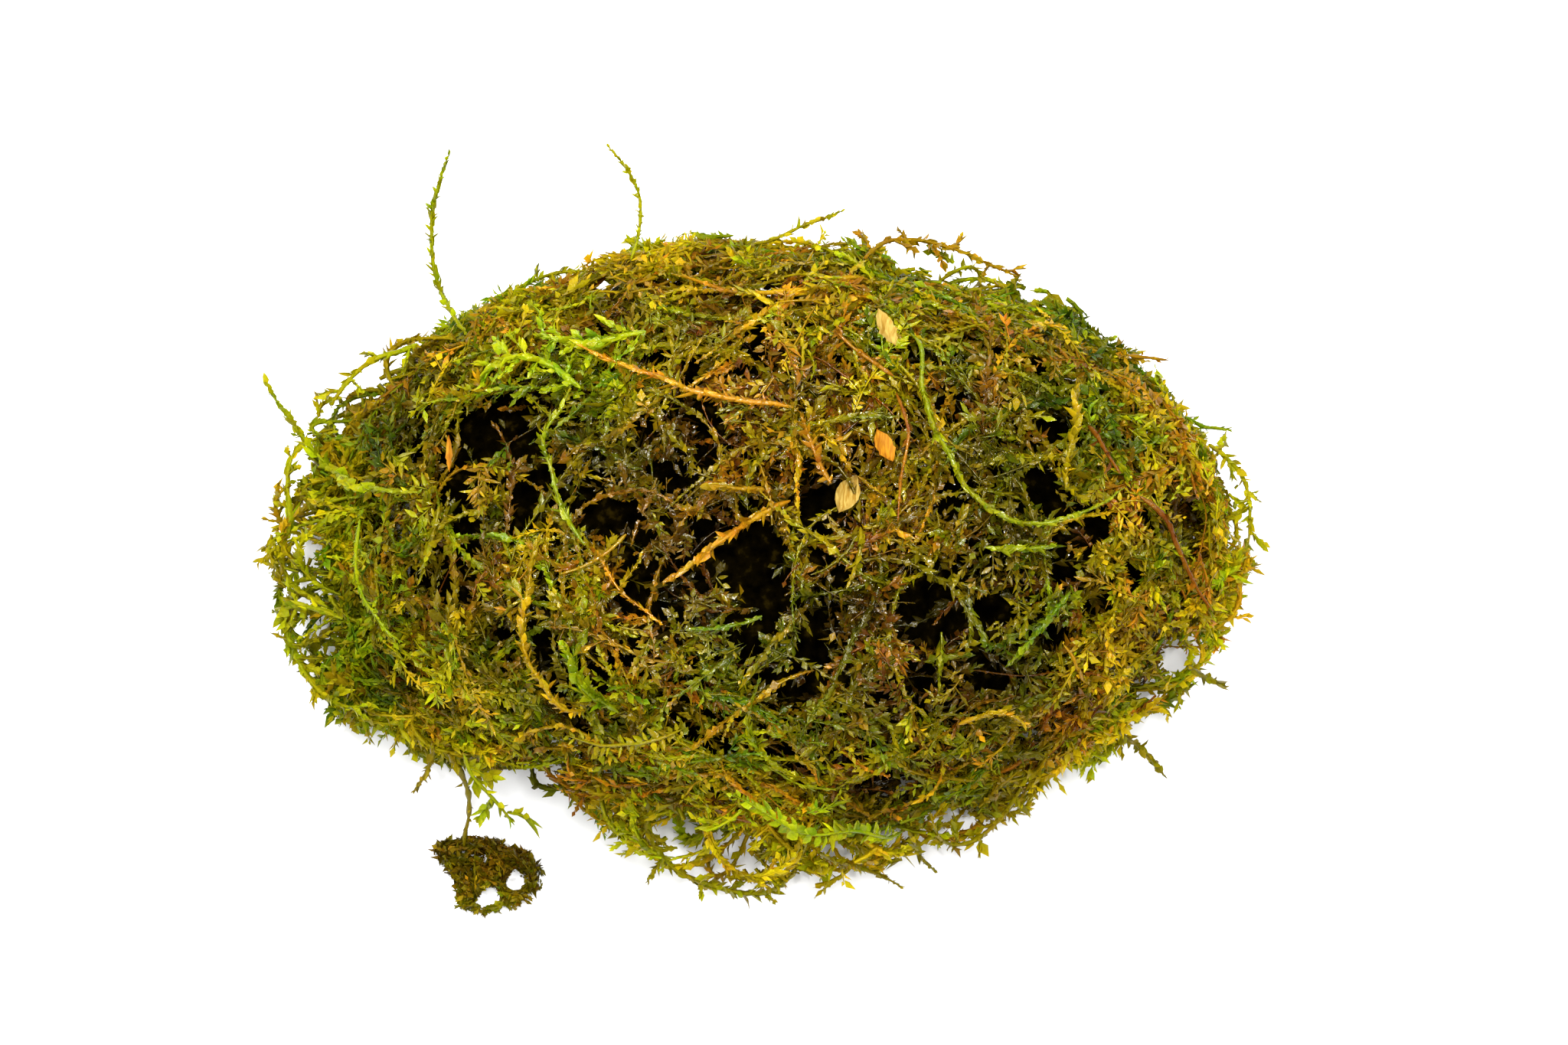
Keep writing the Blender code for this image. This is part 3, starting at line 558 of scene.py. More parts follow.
def grow(form, starts, headings, length, count, sink, rise, wander, chance):
    """Paths that creep over a form: `sink` and `rise` are their heights above it at root and tip."""
    amount = len(starts)
    step = (length / (count - 1))[:, None]
    places, normals = form.nearest(starts)
    heading = square_to(headings, normals)
    rise = np.where(rise > 0, rise * (0.35 + 0.65 * np.clip(normals[:, 2], 0, 1)), rise)
    turn = chance.normal(0, wander, amount)
    sway = chance.uniform(0, 2 * math.pi, amount)
    path = Path(np.empty((amount, count, 3)), np.empty((amount, count, 3)), np.empty((amount, count)))
    for k in range(count):
        share = k / (count - 1)
        height = sink + (rise - sink) * share ** 1.5
        height = height + WAVE_HEIGHT * np.sin(sway + share * length / WAVE_LENGTH * 2 * math.pi)
        path.points[:, k] = places + normals * height[:, None]
        path.normals[:, k] = normals
        path.heights[:, k] = height
        turn = turn * 0.82 + chance.normal(0, wander * 0.55, amount)
        side = np.cross(normals, heading)
        heading = unit(heading + side * (turn * step[:, 0] / MM)[:, None])
        places, normals = form.nearest(places + heading * step)
        heading = square_to(heading, normals)
    return path


def in_the_open(points, normals):
    """Paths whose leaves get the full light, without the painted depth shade."""
    return Path(points, normals, np.full(points.shape[:2], OPEN_HEIGHT))


def along(length, gap, least=1):
    """Places by number along paths: how many each path has, and each place's path and number."""
    numbers = np.maximum(least, (length / gap).astype(int))
    rows = np.repeat(np.arange(len(numbers)), numbers)
    order = np.concatenate([np.arange(n) for n in numbers])
    return numbers, rows, order


def pick(array, rows, marks):
    """Values of an (amount, count, ...) array for given rows, at marks between its points."""
    low = np.clip(np.floor(marks).astype(int), 0, array.shape[1] - 2)
    share = marks - low
    if array.ndim == 3:
        share = share[..., None]
    return array[rows, low] * (1 - share) + array[rows, low + 1] * share


def at_marks(path, rows, marks):
    """The places, the directions and the normals of paths at marks between their points."""
    tangent = unit(pick(unit(np.gradient(path.points, axis=1)), rows, marks))
    return pick(path.points, rows, marks), tangent, pick(path.normals, rows, marks)


def show(name, data):
    """An object with its data, put into the scene."""
    shown = bpy.data.objects.new(name, data)
    bpy.context.scene.collection.objects.link(shown)
    return shown


def add_piece(name, mesh, surface, nodes):
    """Show a mesh as a piece that rides on the clump, and hide the solids it stands for."""
    mesh.shade_smooth()
    mesh.materials.append(surface)
    piece = show(name, mesh)
    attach(piece, "root")
    if nodes:
        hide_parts(*nodes)


class Foliage:
    """A growing heap of vertices and triangles, with what the materials need to know of them."""

    def __init__(self, name):
        self.name = name
        self.chance = rng(name)
        self.corners = []
        self.triangles = []
        self.count = 0
        self.cell_count = 0

    def add(self, vertices, triangles, growth, tone, spots, kept=None):
        """Add many copies of one small shape: each array is (amount, corners, ...)."""
        amount, corners = vertices.shape[:2]
        faces = self.count + np.arange(amount)[:, None, None] * corners + triangles[None]
        if kept is not None:
            faces = faces[kept]
        self.triangles.append(faces.reshape(-1, 3))
        bounded = np.clip(tone, (0.0, 0.0), (1.0, MOST_LIGHT))
        cell = (self.cell_count + np.arange(amount))[:, None, None]
        parts = [np.broadcast_to(part, (amount, corners, part.shape[-1]))
                 for part in (vertices, growth, bounded, cell, spots)]
        self.corners.append(np.concatenate(parts, axis=2).reshape(amount * corners, -1))
        self.count += amount * corners
        self.cell_count += amount

    def add_stems(self, path, radius, tone, local, sides=3, scaly=0.0, sparse=1, daring=None):
        """Stems with a few sides, thinner to the tip, along every path; `scaly` ones are uneven."""
        path = Path(*[part[:, ::sparse] for part in path])
        amount, count = path.points.shape[:2]
        tangent = unit(np.gradient(path.points, axis=1))
        side = unit(np.cross(path.normals, tangent))
        other = np.cross(tangent, side)
        share = np.linspace(0, 1, count)
        uneven = 1.0 + scaly * self.chance.normal(0, 1, (amount, count))
        ends = np.minimum(1.0, np.minimum(share / 0.08, (1 - share) / 0.12) + 0.15) ** 0.6
        thickness = radius[:, None] * ((1.0 - 0.5 * share ** 2) * ends)[None, :] * np.clip(uneven, 0.5, 1.6)
        kept = None
        if daring is not None:
            thickness = thickness * np.clip((daring[:, None] - gapness(path.points)) / 0.3, 0.1, 1.0)
            middles = (path.points[:, :-1] + path.points[:, 1:]) / 2
            kept = np.repeat(allowed(middles, daring[:, None]), sides * 2, axis=1)
        rings = []
        for k in range(sides):
            angle = math.pi / 2 + k * 2 * math.pi / sides
            outward = side * math.cos(angle) + other * math.sin(angle)
            rings.append(path.points + outward * thickness[..., None])
        triangles = []
        for i in range(count - 1):
            for k in range(sides):
                a = i * sides + k
                b = i * sides + (k + 1) % sides
                triangles += [(a, b, b + sides), (a, b + sides, a + sides)]
        lengthwise = np.repeat(share, sides)
        growth = np.stack([lengthwise, np.zeros(count * sides)], axis=1)
        round_spot = 0.05 + 0.9 * np.abs(np.linspace(-1, 1, sides))
        spots = np.stack([np.tile(round_spot, count), lengthwise * 0.9 + 0.05], axis=1)
        age = np.broadcast_to(tone[:, None, 0], (amount, count))
        light = tone[:, None, 1] * painted_depth_shade(path.heights)
        stem_tone = np.repeat(toned(age, light, path.points, local), sides, axis=1)
        vertices = np.stack(rings, axis=2).reshape(amount, count * sides, 3)
        self.add(vertices, np.array(triangles), growth, stem_tone, spots, kept)

    def leaf_marks(self, path, length, step, daring, sparse):
        """The leaves of every path: which path each is on, its number, and its share of the way."""
        amount, count = path.points.shape[:2]
        numbers, rows, order = along(length, step * 0.5 * MM, 3)
        missing = self.chance.uniform(0, 0.45, amount) ** 1.5
        kept = self.chance.random(len(rows)) > missing[rows]
        if daring is not None:
            before = ((order + 0.5) / numbers[rows] * (count - 1.01) / sparse).astype(int) * sparse
            after = np.minimum(before + sparse, count - 1)
            kept = kept & allowed((path.points[rows, before] + path.points[rows, after]) / 2, daring[rows])
        rows = rows[kept]
        order = order[kept]
        share = (order + 0.5 + self.chance.normal(0, 0.22, len(rows))) / numbers[rows]
        return rows, order, np.clip(share, 0.0, 0.999)

    def leaf_axes(self, path, habit, rows, order, share):
        """Each leaf's place, the way out of the stem there, and the ways of its length and width."""
        chance = self.chance
        amount, count = path.points.shape[:2]
        total = len(rows)
        place, tangent, normal = at_marks(path, rows, share * (count - 1))
        normal = square_to(normal, tangent)
        sign = np.where(order % 2 == 0, 1.0, -1.0)
        if habit.spread >= 180:
            around = order * 2.2 + chance.uniform(0, 6.28, amount)[rows] + chance.normal(0, 0.25, total)
        else:
            twist = chance.normal(0, 22, amount)[rows]
            lean = np.radians(chance.normal(0, habit.spread, total) + twist * sign)
            around = np.where(sign > 0, lean, math.pi - lean)
        around = around[:, None]
        radial = np.cross(normal, tangent) * np.cos(around) + normal * np.sin(around)
        opening = habit.angle * np.exp(chance.normal(0, 0.20, amount))[rows] + chance.normal(0, 17, total)
        opening = (np.radians(np.clip(opening, 6, 95)) * (1.0 - 0.55 * share ** 3))[:, None]
        axis = unit(tangent * np.cos(opening) + radial * np.sin(opening))
        upright = np.cross(tangent, radial)
        in_plane = np.cross(normal, axis)
        in_plane = in_plane * np.where(np.sum(in_plane * upright, axis=1, keepdims=True) < 0, -1.0, 1.0)
        width_way = upright * (1 - habit.flat) + in_plane * habit.flat
        width_way = square_to(width_way + unit(chance.normal(size=(total, 3))) * 0.55, axis)
        return place, radial, axis, width_way

    def add_leaves(self, path, length, habit, tone, local, daring=None, sparse=1):
        """Leaves along every path, by turns on its two sides or all round it, as the habit says."""
        chance = self.chance
        amount, count = path.points.shape[:2]
        rows, order, share = self.leaf_marks(path, length, habit.step, daring, sparse)
        place, radial, axis, width_way = self.leaf_axes(path, habit, rows, order, share)
        total = len(rows)
        out = np.cross(axis, width_way)
        taper = np.minimum(1.0, 0.50 + 2.5 * share) * (1.0 - 0.50 * np.clip((share - 0.75) / 0.25, 0, 1))
        vigour = np.exp(chance.normal(0, 0.14, amount))[rows]
        size = LEAF_LENGTH * habit.length * taper * vigour * np.exp(chance.normal(0, 0.24, total))
        wide = LEAF_WIDTH * habit.width * taper * vigour * np.exp(chance.normal(0, 0.24, total))
        curl = chance.normal(habit.curl, 0.26, total)[:, None]
        size = size[:, None]
        wide = wide[:, None]
        base = place + radial * STEM_RADIUS * 0.6
        steps, ways, triangles = LEAVES[habit.leaf]
        corners = []
        spots = []
        growth = []
        for at, width, cup in steps:
            centre = base + axis * size * at + out * size * curl * at * at
            for way in ways if width else (0,):
                corners.append(centre + width_way * wide * 0.5 * width * way + out * size * cup * abs(way))
                spots.append((0.5 + way * 0.46 * width, at * 0.94 + 0.03))
                growth.append(at)
        leaf_growth = np.stack(np.broadcast_arrays(share[:, None], np.array(growth)[None]), axis=-1)
        shade = painted_depth_shade(pick(path.heights, rows, share * (count - 1)))
        age = tone[rows, 0] + chance.normal(0, 0.04, total) + 0.14 * (1 - shade)
        light = tone[rows, 1] * shade * np.exp(chance.normal(0, 0.24, total))
        leaf_tone = toned(age, light, place, local)[:, None]
        vertices = np.stack(corners, axis=1)
        kept = None
        if daring is not None:
            clear = ~(in_opening(base + axis * size) & (daring[rows] < SPANNING))
            kept = np.repeat(clear[:, None], len(triangles), axis=1)
        self.add(vertices, np.array(triangles), leaf_growth, leaf_tone, np.array(spots)[None], kept)

    def plant(self, path, length, habit, tone, local=True, avoid=None, sparse=1):
        """Stems and leaves along every path; `avoid` is the share of them that keeps out of the gaps."""
        amount = len(length)
        radius = STEM_RADIUS * habit.radius * np.exp(self.chance.normal(0, 0.15, amount))
        daring = None
        if avoid is not None:
            daring = np.where(self.chance.random(amount) < avoid, SHY, BOLD)
        self.add_stems(path, radius, tone, local, sparse=sparse, daring=daring)
        self.add_leaves(path, length, habit, tone, local, daring, sparse)

    def build(self, surface, *nodes):
        """Make the joined mesh, ride it on the clump and hide the solids it stands for."""
        used, corners = np.unique(np.concatenate(self.triangles), return_inverse=True)
        corners = corners.ravel().astype(np.int32)
        amount = len(corners) // 3
        values = np.concatenate(self.corners)[used]
        vertices, growth, tone, cells, spots = np.split(values, (3, 5, 7, 8), axis=1)
        vertices[:, 2] = np.maximum(vertices[:, 2], FLOOR_GAP)
        mesh = bpy.data.meshes.new(self.name)
        mesh.vertices.add(len(vertices))
        mesh.vertices.foreach_set("co", vertices.astype(np.float32).ravel())
        mesh.loops.add(len(corners))
        mesh.loops.foreach_set("vertex_index", corners)
        mesh.polygons.add(amount)
        mesh.polygons.foreach_set("loop_start", np.arange(amount, dtype=np.int32) * 3)
        mesh.update(calc_edges=True)
        across = int(math.ceil(math.sqrt(self.cell_count)))
        places = np.concatenate([cells % across, cells // across], axis=1)
        bake = (places + 0.06 + spots * 0.88) / across
        for label, numbers in (("OFBake", bake), ("Growth", growth), ("Tone", tone)):
            layer = mesh.uv_layers.new(name=label)
            layer.data.foreach_set("uv", numbers[corners].astype(np.float32).ravel())
        add_piece(self.name, mesh, surface, nodes)
        print(self.name, amount, "triangles")


def node_object(name):
    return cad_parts[name]

def centreline(name, form):
    """The middle line of a stem's solid, root first, read from how far its corners are apart."""
    source = node_object(name)
    shape = bmesh.new()
    shape.from_mesh(source.data)
    bmesh.ops.remove_doubles(shape, verts=shape.verts, dist=1e-6)
    shape.verts.ensure_lookup_table()
    points = np.array([v.co[:] for v in shape.verts])
    links = [[e.other_vert(v).index for e in v.link_edges] for v in shape.verts]
    shape.free()

    def spread(start):
        far = np.full(len(points), np.inf)
        far[start] = 0.0
        waiting = [start]
        while waiting:
            waiting.sort(key=lambda i: far[i])
            here = waiting.pop(0)
            for there in links[here]:
                reach = far[here] + np.linalg.norm(points[here] - points[there])
                if reach < far[there] - 1e-9:
                    far[there] = reach
                    waiting.append(there)
        return far

    start = int(np.argmax(spread(0)))
    far = spread(start)
    total = far.max()
    bins = max(4, int(total / (1.6 * MM)))
    line = []
    for k in range(bins + 1):
        weight = np.exp(-((far / total * bins - k) / 0.6) ** 2)
        line.append((points * weight[:, None]).sum(axis=0) / weight.sum())
    line = np.array(line)
    line[0] = points[far < 0.25 * MM].mean(axis=0)
    line[-1] = points[far > total - 0.25 * MM].mean(axis=0)
    places, _ = form.nearest(line[[0, -1]])
    gaps = np.linalg.norm(line[[0, -1]] - places, axis=1)
    if gaps[0] > gaps[1]:
        line = line[::-1]
    return line


def smooth_line(line, count):
    """A given number of points at even spacing on a smooth curve through a line's points."""
    knots = np.concatenate([[2 * line[0] - line[1]], line, [2 * line[-1] - line[-2]]])
    made = []
    for a, b, c, d in zip(knots, knots[1:], knots[2:], knots[3:]):
        for t in np.linspace(0, 1, 8, endpoint=False):
            made.append(0.5 * (2 * b + (c - a) * t + (2 * a - 5 * b + 4 * c - d) * t ** 2
                               + (3 * b - a - 3 * c + d) * t ** 3))
    made.append(line[-1])
    made = np.array(made)
    run = np.concatenate([[0], np.cumsum(np.linalg.norm(np.diff(made, axis=0), axis=1))])
    wanted = np.linspace(0, run[-1], count)
    return np.stack([np.interp(wanted, run, made[:, k]) for k in range(3)], axis=1), run[-1]


def loose_path(name, form):
    """A loose stem's solid as a path of its own, to be clothed in leaves, and its length."""
    line = centreline(name, form)
    _, run = smooth_line(line, 12)
    points, run = smooth_line(line, max(8, int(run / (0.34 * MM))))
    _, normals = form.nearest(points)
    normals = unit(normals * 0.4 + np.array([0.0, 0.2, 0.98]) * 0.6)
    for _ in range(6):
        normals[1:-1] = unit(normals[:-2] + normals[1:-1] + normals[2:])
    normals = square_to(normals, unit(np.gradient(points, axis=0)))
    return in_the_open(points[None], normals[None]), np.array([run])


def flow_headings(points, chance):
    """Headings along the flow of the stems, either way, each a little off it."""
    amount = len(points)
    _, _, bearings = region_mix(points)
    angle = bearings + chance.normal(0, FLOW_SPREAD, amount) + math.pi * chance.integers(0, 2, amount)
    right = np.array([1.0, 0.0, 0.0])
    heading = np.cos(angle)[:, None] * right + np.sin(angle)[:, None] * np.array(UPWARD)
    return heading + chance.normal(0, 0.05, (amount, 3))


def side_places(path, length, gap, jitter, least, chance):
    """Where side shoots start: path, side, share of the way, mark, place, direction and normal."""
    numbers, rows, order = along(length, gap * MM)
    share = (order + 0.5 + chance.uniform(-jitter, jitter, len(rows))) / numbers[rows]
    share = np.clip(share, least, 0.97)
    marks = share * (path.points.shape[1] - 1)
    return rows, np.where(order % 2 == 0, 1, -1), share, marks, *at_marks(path, rows, marks)


def branch_out(form, path, length, plan, chance):
    """Side shoots of every path, by turns to its left and its right."""
    places = side_places(path, length, plan.gap, 0.4, 0.02, chance)
    rows, hand, share, marks, starts, tangent, normal = places
    total = len(rows)
    height = pick(path.heights, rows, marks)
    angle = np.radians(chance.normal(50, 22, total)) * hand
    heading = tangent * np.cos(angle)[:, None] + np.cross(normal, tangent) * np.sin(angle)[:, None]
    twig = chance.uniform(*plan.twig, total) * MM * (1.0 - 0.45 * share)
    rise = height + chance.uniform(*plan.twig_rise, total) * MM
    kept = chance.random(total) > gapness(starts + heading * twig[:, None] * 0.5) * plan.avoid
    kept = kept & ~in_opening(starts)
    shoots = grow(form, starts[kept], heading[kept], twig[kept], 7, height[kept], rise[kept], 0.22, chance)
    return shoots, twig[kept], rows[kept]


def free_twigs(path, length, gap, reach, lift, chance, spread=14.0):
    """Side shoots that stand freely off paths, by turns to the left and the right."""
    rows, hand, share, _, starts, tangent, normal = side_places(path, length, gap, 0.3, 0.03, chance)
    total = len(rows)
    side = unit(np.cross(normal, tangent)) * hand[:, None]
    angle = np.radians(chance.normal(52, spread, total))[:, None]
    heading = tangent * np.cos(angle) + side * np.sin(angle)
    twig = chance.uniform(*reach, total) * MM * (1.0 - 0.5 * share)
    bend = chance.normal(0, 0.16, (total, 1)) * twig[:, None]
    raised = chance.normal(lift, 0.10, (total, 1)) * twig[:, None]
    points = []
    for t in np.linspace(0, 1, 7):
        straight = starts + heading * twig[:, None] * t
        points.append(straight + tangent * bend * t * t + normal * raised * t * t)
    return in_the_open(np.stack(points, axis=1), np.repeat(normal[:, None], 7, axis=1)), twig, rows


def strand_weights(form, plan, chance):
    """How densely a layer starts on each face: in clumps, out of the gaps, more in the heart."""
    clumps = plan.clump * 2 * wave_field(form.centres, CLUMP_PATCH, chance)
    weights = np.clip(1 - plan.clump + clumps, 0.03, None)
    weights = weights * (1 - plan.avoid * gapness(form.centres))
    face_up = form.vertex_normals[form.faces].mean(axis=1)[:, 2]
    weights = weights * np.where(face_up < UNDERSIDE, plan.under, 1.0)
    return weights * (1 + plan.heart * np.exp(-(off_centre(form.centres) / 0.55) ** 2))


def strand_layer(name, form, plan, surface):
    """One piece: creeping stems with their side shoots, or groups of short shoots, over the mound."""
    foliage = Foliage(name)
    chance = foliage.chance
    weights = strand_weights(form, plan, chance)
    starts = np.repeat(form.scatter(plan.count, weights, chance), plan.group, axis=0)
    count = len(starts)
    headings = flow_headings(starts, chance)
    if plan.group > 1:
        starts = starts + chance.normal(0, 0.35, (count, 3)) * MM
        headings = unit(headings) + chance.normal(size=(count, 3)) * 0.5
    length = chance.uniform(*plan.length, count) * MM
    steps = max(7, int(plan.length[1] / 1.1))
    sinks = chance.uniform(*plan.sink, count) * MM
    rises = chance.uniform(*plan.rise, count) * MM
    path = grow(form, starts, headings, length, steps, sinks, rises, plan.wander, chance)
    odd = np.repeat(chance.random(plan.count), plan.group)
    older = np.where(odd < 0.12, 0.26, np.where(odd > 0.80, -0.17, 0.0))
    tone = np.stack([plan.age + older + chance.normal(0, plan.age_spread, count),
                     plan.light * np.exp(chance.normal(0, 0.28, count))], axis=1)
    foliage.plant(path, length, plan.main, tone, avoid=plan.avoid, sparse=3 if plan.group > 1 else 1)
    if plan.gap:
        shoots, twig, rows = branch_out(form, path, length, plan, chance)
        older = chance.normal(-0.03, 0.05, len(rows))
        brighter = chance.normal(0, 0.06, len(rows))
        twig_tone = tone[rows] + np.stack([older, brighter], axis=1)
        foliage.plant(shoots, twig, plan.twig_habit, twig_tone, avoid=plan.avoid, sparse=2)
    foliage.build(surface)


def build_loose(name, rows, form, surface):
    """One piece from several loose stems: each row is a solid's name and how it is clothed."""
    foliage = Foliage(name)
    for node, style, age, light, size in rows:
        path, length = loose_path(node, form)
        tone = np.array([[age, light]])
        look = STYLES[style]
        habit = look.habit._replace(length=look.habit.length * size, width=look.habit.width * size)
        foliage.add_stems(path, np.array([look.radius * size * MM]), tone, False, 5, look.scaly)
        foliage.add_leaves(path, length, habit, tone, False)
        if look.gap:
            shoots, twig, _ = free_twigs(path, length, look.gap, look.reach, look.lift, foliage.chance)
            twig_tone = np.repeat(tone, len(twig), axis=0)
            twig_tone[:, 0] += foliage.chance.normal(0, 0.03, len(twig))
            foliage.add_stems(shoots, np.full(len(twig), look.radius * 0.6 * MM), twig_tone, False)
            foliage.add_leaves(shoots, twig, look.twig_habit, twig_tone, False)
    foliage.build(surface, *[row[0] for row in rows])


def rim_arc(form, first, turn, low, high, bulge, droop):
    """One stem that bows out of the rim and back: its points and normals, if it meets the mound."""
    points = []
    normals = []
    for t in np.linspace(0, 1, ARC_STEPS):
        angle = math.radians(first + turn * t)
        outward = Vector((math.cos(angle) * RIM_SHAPE[0], math.sin(angle) * RIM_SHAPE[1], 0)).normalized()
        origin = Vector((outward.x * RAY_START, outward.y * RAY_START, low + (high - low) * t))
        hit, normal, _, _ = form.tree.ray_cast(origin, -outward)
        if hit is None:
            return None
        widest, _, _, _ = form.tree.ray_cast(Vector((origin.x, origin.y, WIDEST_LEVEL)), -outward)
        undercut = max(0.0, (widest - hit).dot(outward)) if widest else 0.0
        bow = math.sin(math.pi * t)
        place = np.array(hit) + np.array(outward) * ((bulge + undercut) * bow ** 0.7 - 0.7 * MM * (1 - bow))
        place[2] -= droop * bow
        points.append(place)
        normals.append(np.array(normal) * 0.6 + np.array((0, 0, 0.6)))
    return points, normals


def build_fringe(name, form, count, reach, habit, whole, surface):
    """Stems that bow out from the rim and back; `reach` is how far, as shares of the skirt.

    The share `whole` of the stems runs on across the openings of the rim's net.
    """
    foliage = Foliage(name)
    chance = foliage.chance
    bearings, bulges = np.array(SKIRT).T
    arcs = []
    while len(arcs) < count:
        first = chance.uniform(-180, 180)
        if chance.random() > 0.08 + 0.92 * (np.interp(first, bearings, bulges) / FULL_REACH) ** 1.6:
            continue
        turn = chance.uniform(7, 22) * chance.choice((-1, 1))
        low = chance.uniform(3.5, 13) * MM
        high = np.clip(low + chance.normal(0, 2.0) * MM, 2 * MM, 15 * MM)
        bulge = (0.8 + np.interp(first + turn / 2, bearings, bulges) * chance.uniform(*reach)) * MM
        arc = rim_arc(form, first, turn, low, high, bulge, chance.uniform(0, 1.5) * MM)
        if arc:
            arcs.append(arc)
    points = np.array([arc[0] for arc in arcs])
    normals = unit(np.array([arc[1] for arc in arcs]))
    length = np.linalg.norm(np.diff(points, axis=1), axis=2).sum(axis=1)
    for _ in range(3):
        points[:, 1:-1] = (points[:, :-2] + points[:, 1:-1] * 2 + points[:, 2:]) / 4
        normals[:, 1:-1] = unit(normals[:, :-2] + normals[:, 1:-1] + normals[:, 2:])
    path = in_the_open(points, normals)
    tone = np.stack([chance.normal(-0.02, 0.09, count), np.exp(chance.normal(0, 0.2, count))], axis=1)
    daring = np.where(chance.random(count) < whole, SPANNING, BOLD)
    radius = chance.uniform(0.14, 0.28, count) * MM
    foliage.add_stems(path, radius, tone, True, scaly=0.12, daring=daring)
    foliage.add_leaves(path, length, habit, tone, True, daring)
    shoots, twig, rows = free_twigs(path, length, 2.4, (1.0, 2.4), 0.1, chance, 30.0)
    rooted = ~in_opening(shoots.points[:, 0])
    shoots = Path(*[part[rooted] for part in shoots])
    foliage.plant(shoots, twig[rooted], habit, tone[rows[rooted]], avoid=0.0, sparse=2)
    foliage.build(surface)


def build_tuft(name, surface):
    """The torn tuft: short dark shoots laid along its slab and round its two holes, and its thread."""
    foliage = Foliage(name)
    chance = foliage.chance
    slab = Form(node_object("tuft"), 1)
    count = 380
    sink = np.full(count, -0.40 * MM)
    starts = slab.scatter(count, np.ones(len(slab.faces)), chance)
    headings = chance.normal(size=(count, 3)) * (1.0, 1.0, 0.3)
    length = chance.uniform(1.2, 2.8, count) * MM
    rise = chance.uniform(-0.40, 0.15, count) * MM
    path = grow(slab, starts, headings, length, 7, sink, rise, 0.18, chance)
    _, down = to_view(starts)
    low = np.clip((down - TUFT_PLACE) / TUFT_REACH, 0, 1)
    tone = np.stack([chance.normal(0.58, 0.08, count) - 0.16 * low,
                     (0.24 + 0.26 * low) * np.exp(chance.normal(0, 0.35, count))], axis=1)
    path = in_the_open(path.points, path.normals)
    foliage.plant(path, length, FELT._replace(length=0.72, width=0.9), tone, False, 0.0)
    line = centreline("thread", slab)[::-1]
    foot, out = slab.nearest(line[-1:])
    points, run = smooth_line(np.concatenate([line, foot - out * 0.5 * MM]), 26)
    thread = in_the_open(points[None], np.tile(np.array([0.0, 0.3, 0.95]), (1, 26, 1)))
    tone = np.array([[0.48, 0.60]])
    foliage.add_stems(thread, np.array([0.26 * MM]), tone, False, 5, 0.25)
    foliage.add_leaves(thread, np.array([run]), BARE, tone, False)
    foliage.build(surface, "tuft", "thread")


def build_core(skin, surface):
    """A rough lump inside the mound, so that no light comes through its middle; it is coloured near black
    as painted shade.
    """
    shape = bmesh.new()
    corners = []
    for point, normal in zip(skin.points, skin.vertex_normals):
        inward = CORE_MIDDLE + (point - normal * CORE_DEPTH - CORE_MIDDLE) * CORE_SHRINK
        inward[2] = max(inward[2], CORE_FLOOR)
        corners.append(shape.verts.new(inward))
    for face in skin.faces:
        shape.faces.new([corners[i] for i in face])
    mesh = bpy.data.meshes.new("moss_core_painted_shade")
    shape.to_mesh(mesh)
    shape.free()
    add_piece("moss_core_painted_shade", mesh, surface, ["moss_mound"])


def build_flake(name, broad, surface):
    """A dead scrap of leaf: a thin, curled sheet with a rib, in place of its flat solid."""
    chance = rng(name)
    points = np.array([v.co[:] for v in node_object(name).data.vertices])
    middle = points.mean(axis=0)
    _, _, axes = np.linalg.svd(points - middle)
    half_long, half_wide, _ = np.abs((points - middle) @ axes.T).max(axis=0)
    long_way, wide_way, thin_way = axes
    if thin_way[2] < 0:
        thin_way = -thin_way
    rows = 13
    columns = 7
    vertices = []
    for s in np.linspace(-1, 1, rows):
        width = (1 - abs(s) ** 1.7) ** 0.95 * (1 + 0.10 * chance.normal())
        for t in np.linspace(-1, 1, columns):
            rib = 0.10 * math.exp(-(t / 0.18) ** 2)
            cup = 0.22 * (t * t - 0.3) + 0.14 * s * s - rib + 0.03 * chance.normal()
            place = middle + long_way * s * half_long + wide_way * t * width * half_wide * broad
            vertices.append(place + thin_way * cup * half_wide)
    faces = []
    for i in range(rows - 1):
        for j in range(columns - 1):
            a = i * columns + j
            faces.append((a, a + 1, a + columns + 1, a + columns))
    mesh = bpy.data.meshes.new(name)
    mesh.from_pydata([tuple(v) for v in vertices], [], faces)
    layer = mesh.uv_layers.new(name="OFBake")
    for loop in mesh.loops:
        row, column = divmod(loop.vertex_index, columns)
        layer.data[loop.index].uv = (0.05 + 0.9 * column / (columns - 1), 0.05 + 0.9 * row / (rows - 1))
    add_piece(name + "_leaf", mesh, surface, [name])


